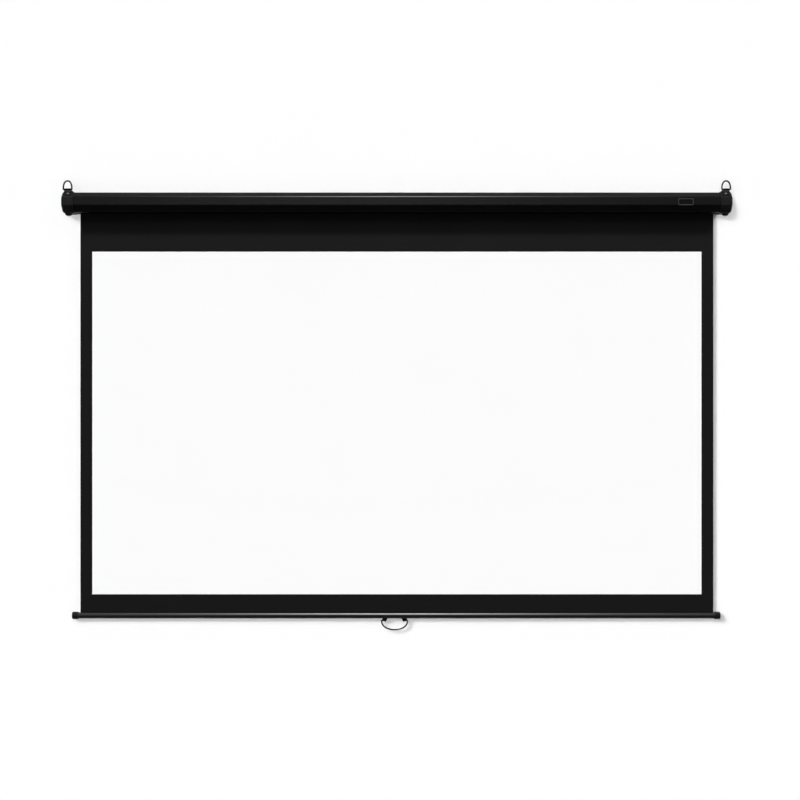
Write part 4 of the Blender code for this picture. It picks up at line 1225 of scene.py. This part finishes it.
def stage_finish(name, colour):
    """A plain matt surface that is clear from behind, so that nothing hides the object there."""
    finish = bpy.data.materials.new(name)
    finish.use_nodes = True
    tree = finish.node_tree
    tree.nodes.clear()
    matt = add_node(tree, "ShaderNodeBsdfDiffuse", {"Color": (*colour, 1.0)})
    clear = add_node(tree, "ShaderNodeBsdfTransparent")
    behind = add_node(tree, "ShaderNodeNewGeometry").outputs["Backfacing"]
    sides = {"Fac": behind, 1: matt.outputs["BSDF"], 2: clear.outputs["BSDF"]}
    mixed = add_node(tree, "ShaderNodeMixShader", sides)
    add_node(tree, "ShaderNodeOutputMaterial", {"Surface": mixed.outputs["Shader"]})
    return finish


def hang_light(name, light, towards, spot):
    """Hangs a light at a spot and turns it to shine from the way that is given."""
    holder = bpy.data.objects.new(name, light)
    holder.location = spot
    holder.rotation_mode = "QUATERNION"
    holder.rotation_quaternion = (-Vector(towards)).to_track_quat("-Z", "Y")
    bpy.context.scene.collection.objects.link(holder)
    return holder


def hang_lamp(name, towards, width, power):
    """A far soft lamp in one direction from the screen, as wide as an angle in degrees."""
    light = bpy.data.lights.new(name, "SUN")
    light.angle = math.radians(width)
    light.energy = power
    return hang_light(name, light, towards, Vector(towards).normalized() * LAMP_STAND)


def hang_disc(name, towards, reach, width, power):
    """A round lamp at a real distance from the case; its power is what it gives there."""
    light = bpy.data.lights.new(name, "AREA")
    light.shape = "DISK"
    light.size = width
    light.energy = power * math.pi * reach ** 2
    return hang_light(name, light, towards, CASE_RIDGE + Vector(towards).normalized() * reach)


def link_light(lamp, role, name, state, pieces):
    """Says which pieces a lamp falls on, or which ones cast its shadows."""
    group = bpy.data.collections.new(name)
    for piece in pieces:
        group.objects.link(piece)
    setattr(lamp.light_linking, role, group)
    for held in group.collection_objects:
        held.light_linking.link_state = state


def falls_on(lamp, name, state, pieces):
    """Lets a lamp fall on these pieces alone (INCLUDE) or on all others (EXCLUDE)."""
    link_light(lamp, "receiver_collection", name, state, pieces)


def shades_by(lamp, name, pieces):
    """Lets these pieces alone cast a lamp's shadows."""
    link_light(lamp, "blocker_collection", name, "INCLUDE", pieces)


def seen_rays(tree):
    """1 where the camera, a mirror or glass looks, and 0 for light that falls on matt things."""
    path = add_node(tree, "ShaderNodeLightPath").outputs
    seen = path["Is Camera Ray"]
    for ray in ("Is Glossy Ray", "Is Transmission Ray"):
        seen = add_math(tree, "MAXIMUM", seen, path[ray])
    return seen


def set_room():
    """The room's even light, and a backdrop that is dim below, pale above and dimmer overhead."""
    world = bpy.data.worlds.new("studio_room")
    world.use_nodes = True
    tree = world.node_tree
    heading = add_node(tree, "ShaderNodeTexCoord").outputs["Generated"]
    height = add_node(tree, "ShaderNodeSeparateXYZ", {"Vector": heading}).outputs["Z"]
    backdrop = add_range(tree, height, BACKDROP_BELOW, BACKDROP_ABOVE, *HORIZON)
    overhead = add_range(tree, height, 1.0, OVERHEAD_SHARE, *OVERHEAD)
    shown = add_math(tree, "MULTIPLY", backdrop, overhead)
    levels = {"Factor": seen_rays(tree), "A": ROOM_LIGHT, "B": shown}
    level = add_node(tree, "ShaderNodeMix", levels)
    back = tree.nodes["Background"]
    back.inputs["Color"].default_value = (1, 1, 1, 1)
    tree.links.new(level.outputs["Result"], back.inputs["Strength"])
    bpy.context.scene.world = world


def case_pieces():
    """What stands far off the wall: the case, its ends and its hanging gear."""
    names = ["folded_case", "blank_badge"]
    for side in SIDES:
        names += [f"moulded_{side}_cap", f"bent_{side}_strap", f"wire_{side}_ring"]
        names += [f"cross_{side}_{place}_screw" for place in ("front", "rear", "lower")]
    return [bpy.data.objects[name] for name in names]


def hanging_pieces():
    """What hangs close to the wall: the cloth, its bar and the handle."""
    names = ["hanging_cloth", "looped_hem", "slotted_weight_bar", "bent_wire_handle"]
    for side in SIDES:
        names += [f"moulded_{side}_knob", f"formed_{side}_lug", f"cross_{side}_lug_screw"]
    return [bpy.data.objects[name] for name in names]


def set_lamps(wall):
    """Lamps for matt light, lamps that only shiny surfaces show, and lamps on the wall alone."""
    for name, lamp in (("key_lamp", KEY_LAMP), ("left_lamp", LEFT_LAMP)):
        matt = hang_lamp(name, *lamp)
        matt.visible_glossy = False
        falls_on(matt, f"{name}_off_the_wall", "EXCLUDE", [wall])
    backdrop = hang_lamp("backdrop_lamp", *BACKDROP_LAMP)
    falls_on(backdrop, "backdrop_on_the_wall", "INCLUDE", [wall])
    shades_by(backdrop, "hanging_shades", hanging_pieces())
    case_shade = hang_lamp("case_shade_lamp", *CASE_SHADE_LAMP)
    falls_on(case_shade, "case_shade_on_the_wall", "INCLUDE", [wall])
    shades_by(case_shade, "case_shades", case_pieces())
    hang_lamp("rear_lamp", *REAR_LAMP)
    shine = hang_disc("shine_lamp", KEY_WAY, SHINE_REACH, SHINE_WIDTH, SHINE_POWER)
    shine.visible_diffuse = False
    front = hang_lamp("front_lamp", *FRONT_LAMP)
    front.visible_diffuse = False
    falls_on(front, "off_the_bar", "EXCLUDE", [bpy.data.objects["slotted_weight_bar"]])


def set_stage():
    """Wall, floor, lamps and camera."""
    wall = upright_sheet("studio_wall", WALL_MIDDLE, *WALL_SIZE)
    wall.data.materials.append(stage_finish("white_wall", WALL_WHITE))
    wall.visible_shadow = False
    wall.visible_diffuse = False
    rest_hands()
    bpy.ops.mesh.primitive_plane_add(size=FLOOR_SIZE, location=(0, 0, FLOOR_Z))
    floor = settle("studio_floor")
    floor.data.materials.append(stage_finish("pale_floor", FLOOR_PALE))
    floor.visible_glossy = False
    floor.visible_diffuse = False
    set_room()
    set_lamps(wall)
    lens = bpy.data.cameras.new("photo_camera")
    lens.lens = LENS_LENGTH
    lens.sensor_width = SENSOR_WIDTH
    camera = bpy.data.objects.new("photo_camera", lens)
    camera.location = CAMERA_SPOT
    camera.rotation_euler = (math.pi / 2, 0, 0)
    bpy.context.scene.collection.objects.link(camera)
    bpy.context.scene.camera = camera
    bpy.context.scene.view_settings.view_transform = "Standard"


def dress_screen():
    """Makes every piece of the screen and paints the nodes that stay."""
    fold_case()
    for side, sign in SIDES.items():
        mould_cap(side, sign)
    hang_case()
    mount_badge()
    wind_turns()
    hang_cloth()
    loop_hem()
    hang_bar()
    finish_carried()


dress_screen()
set_stage()
rest_hands()
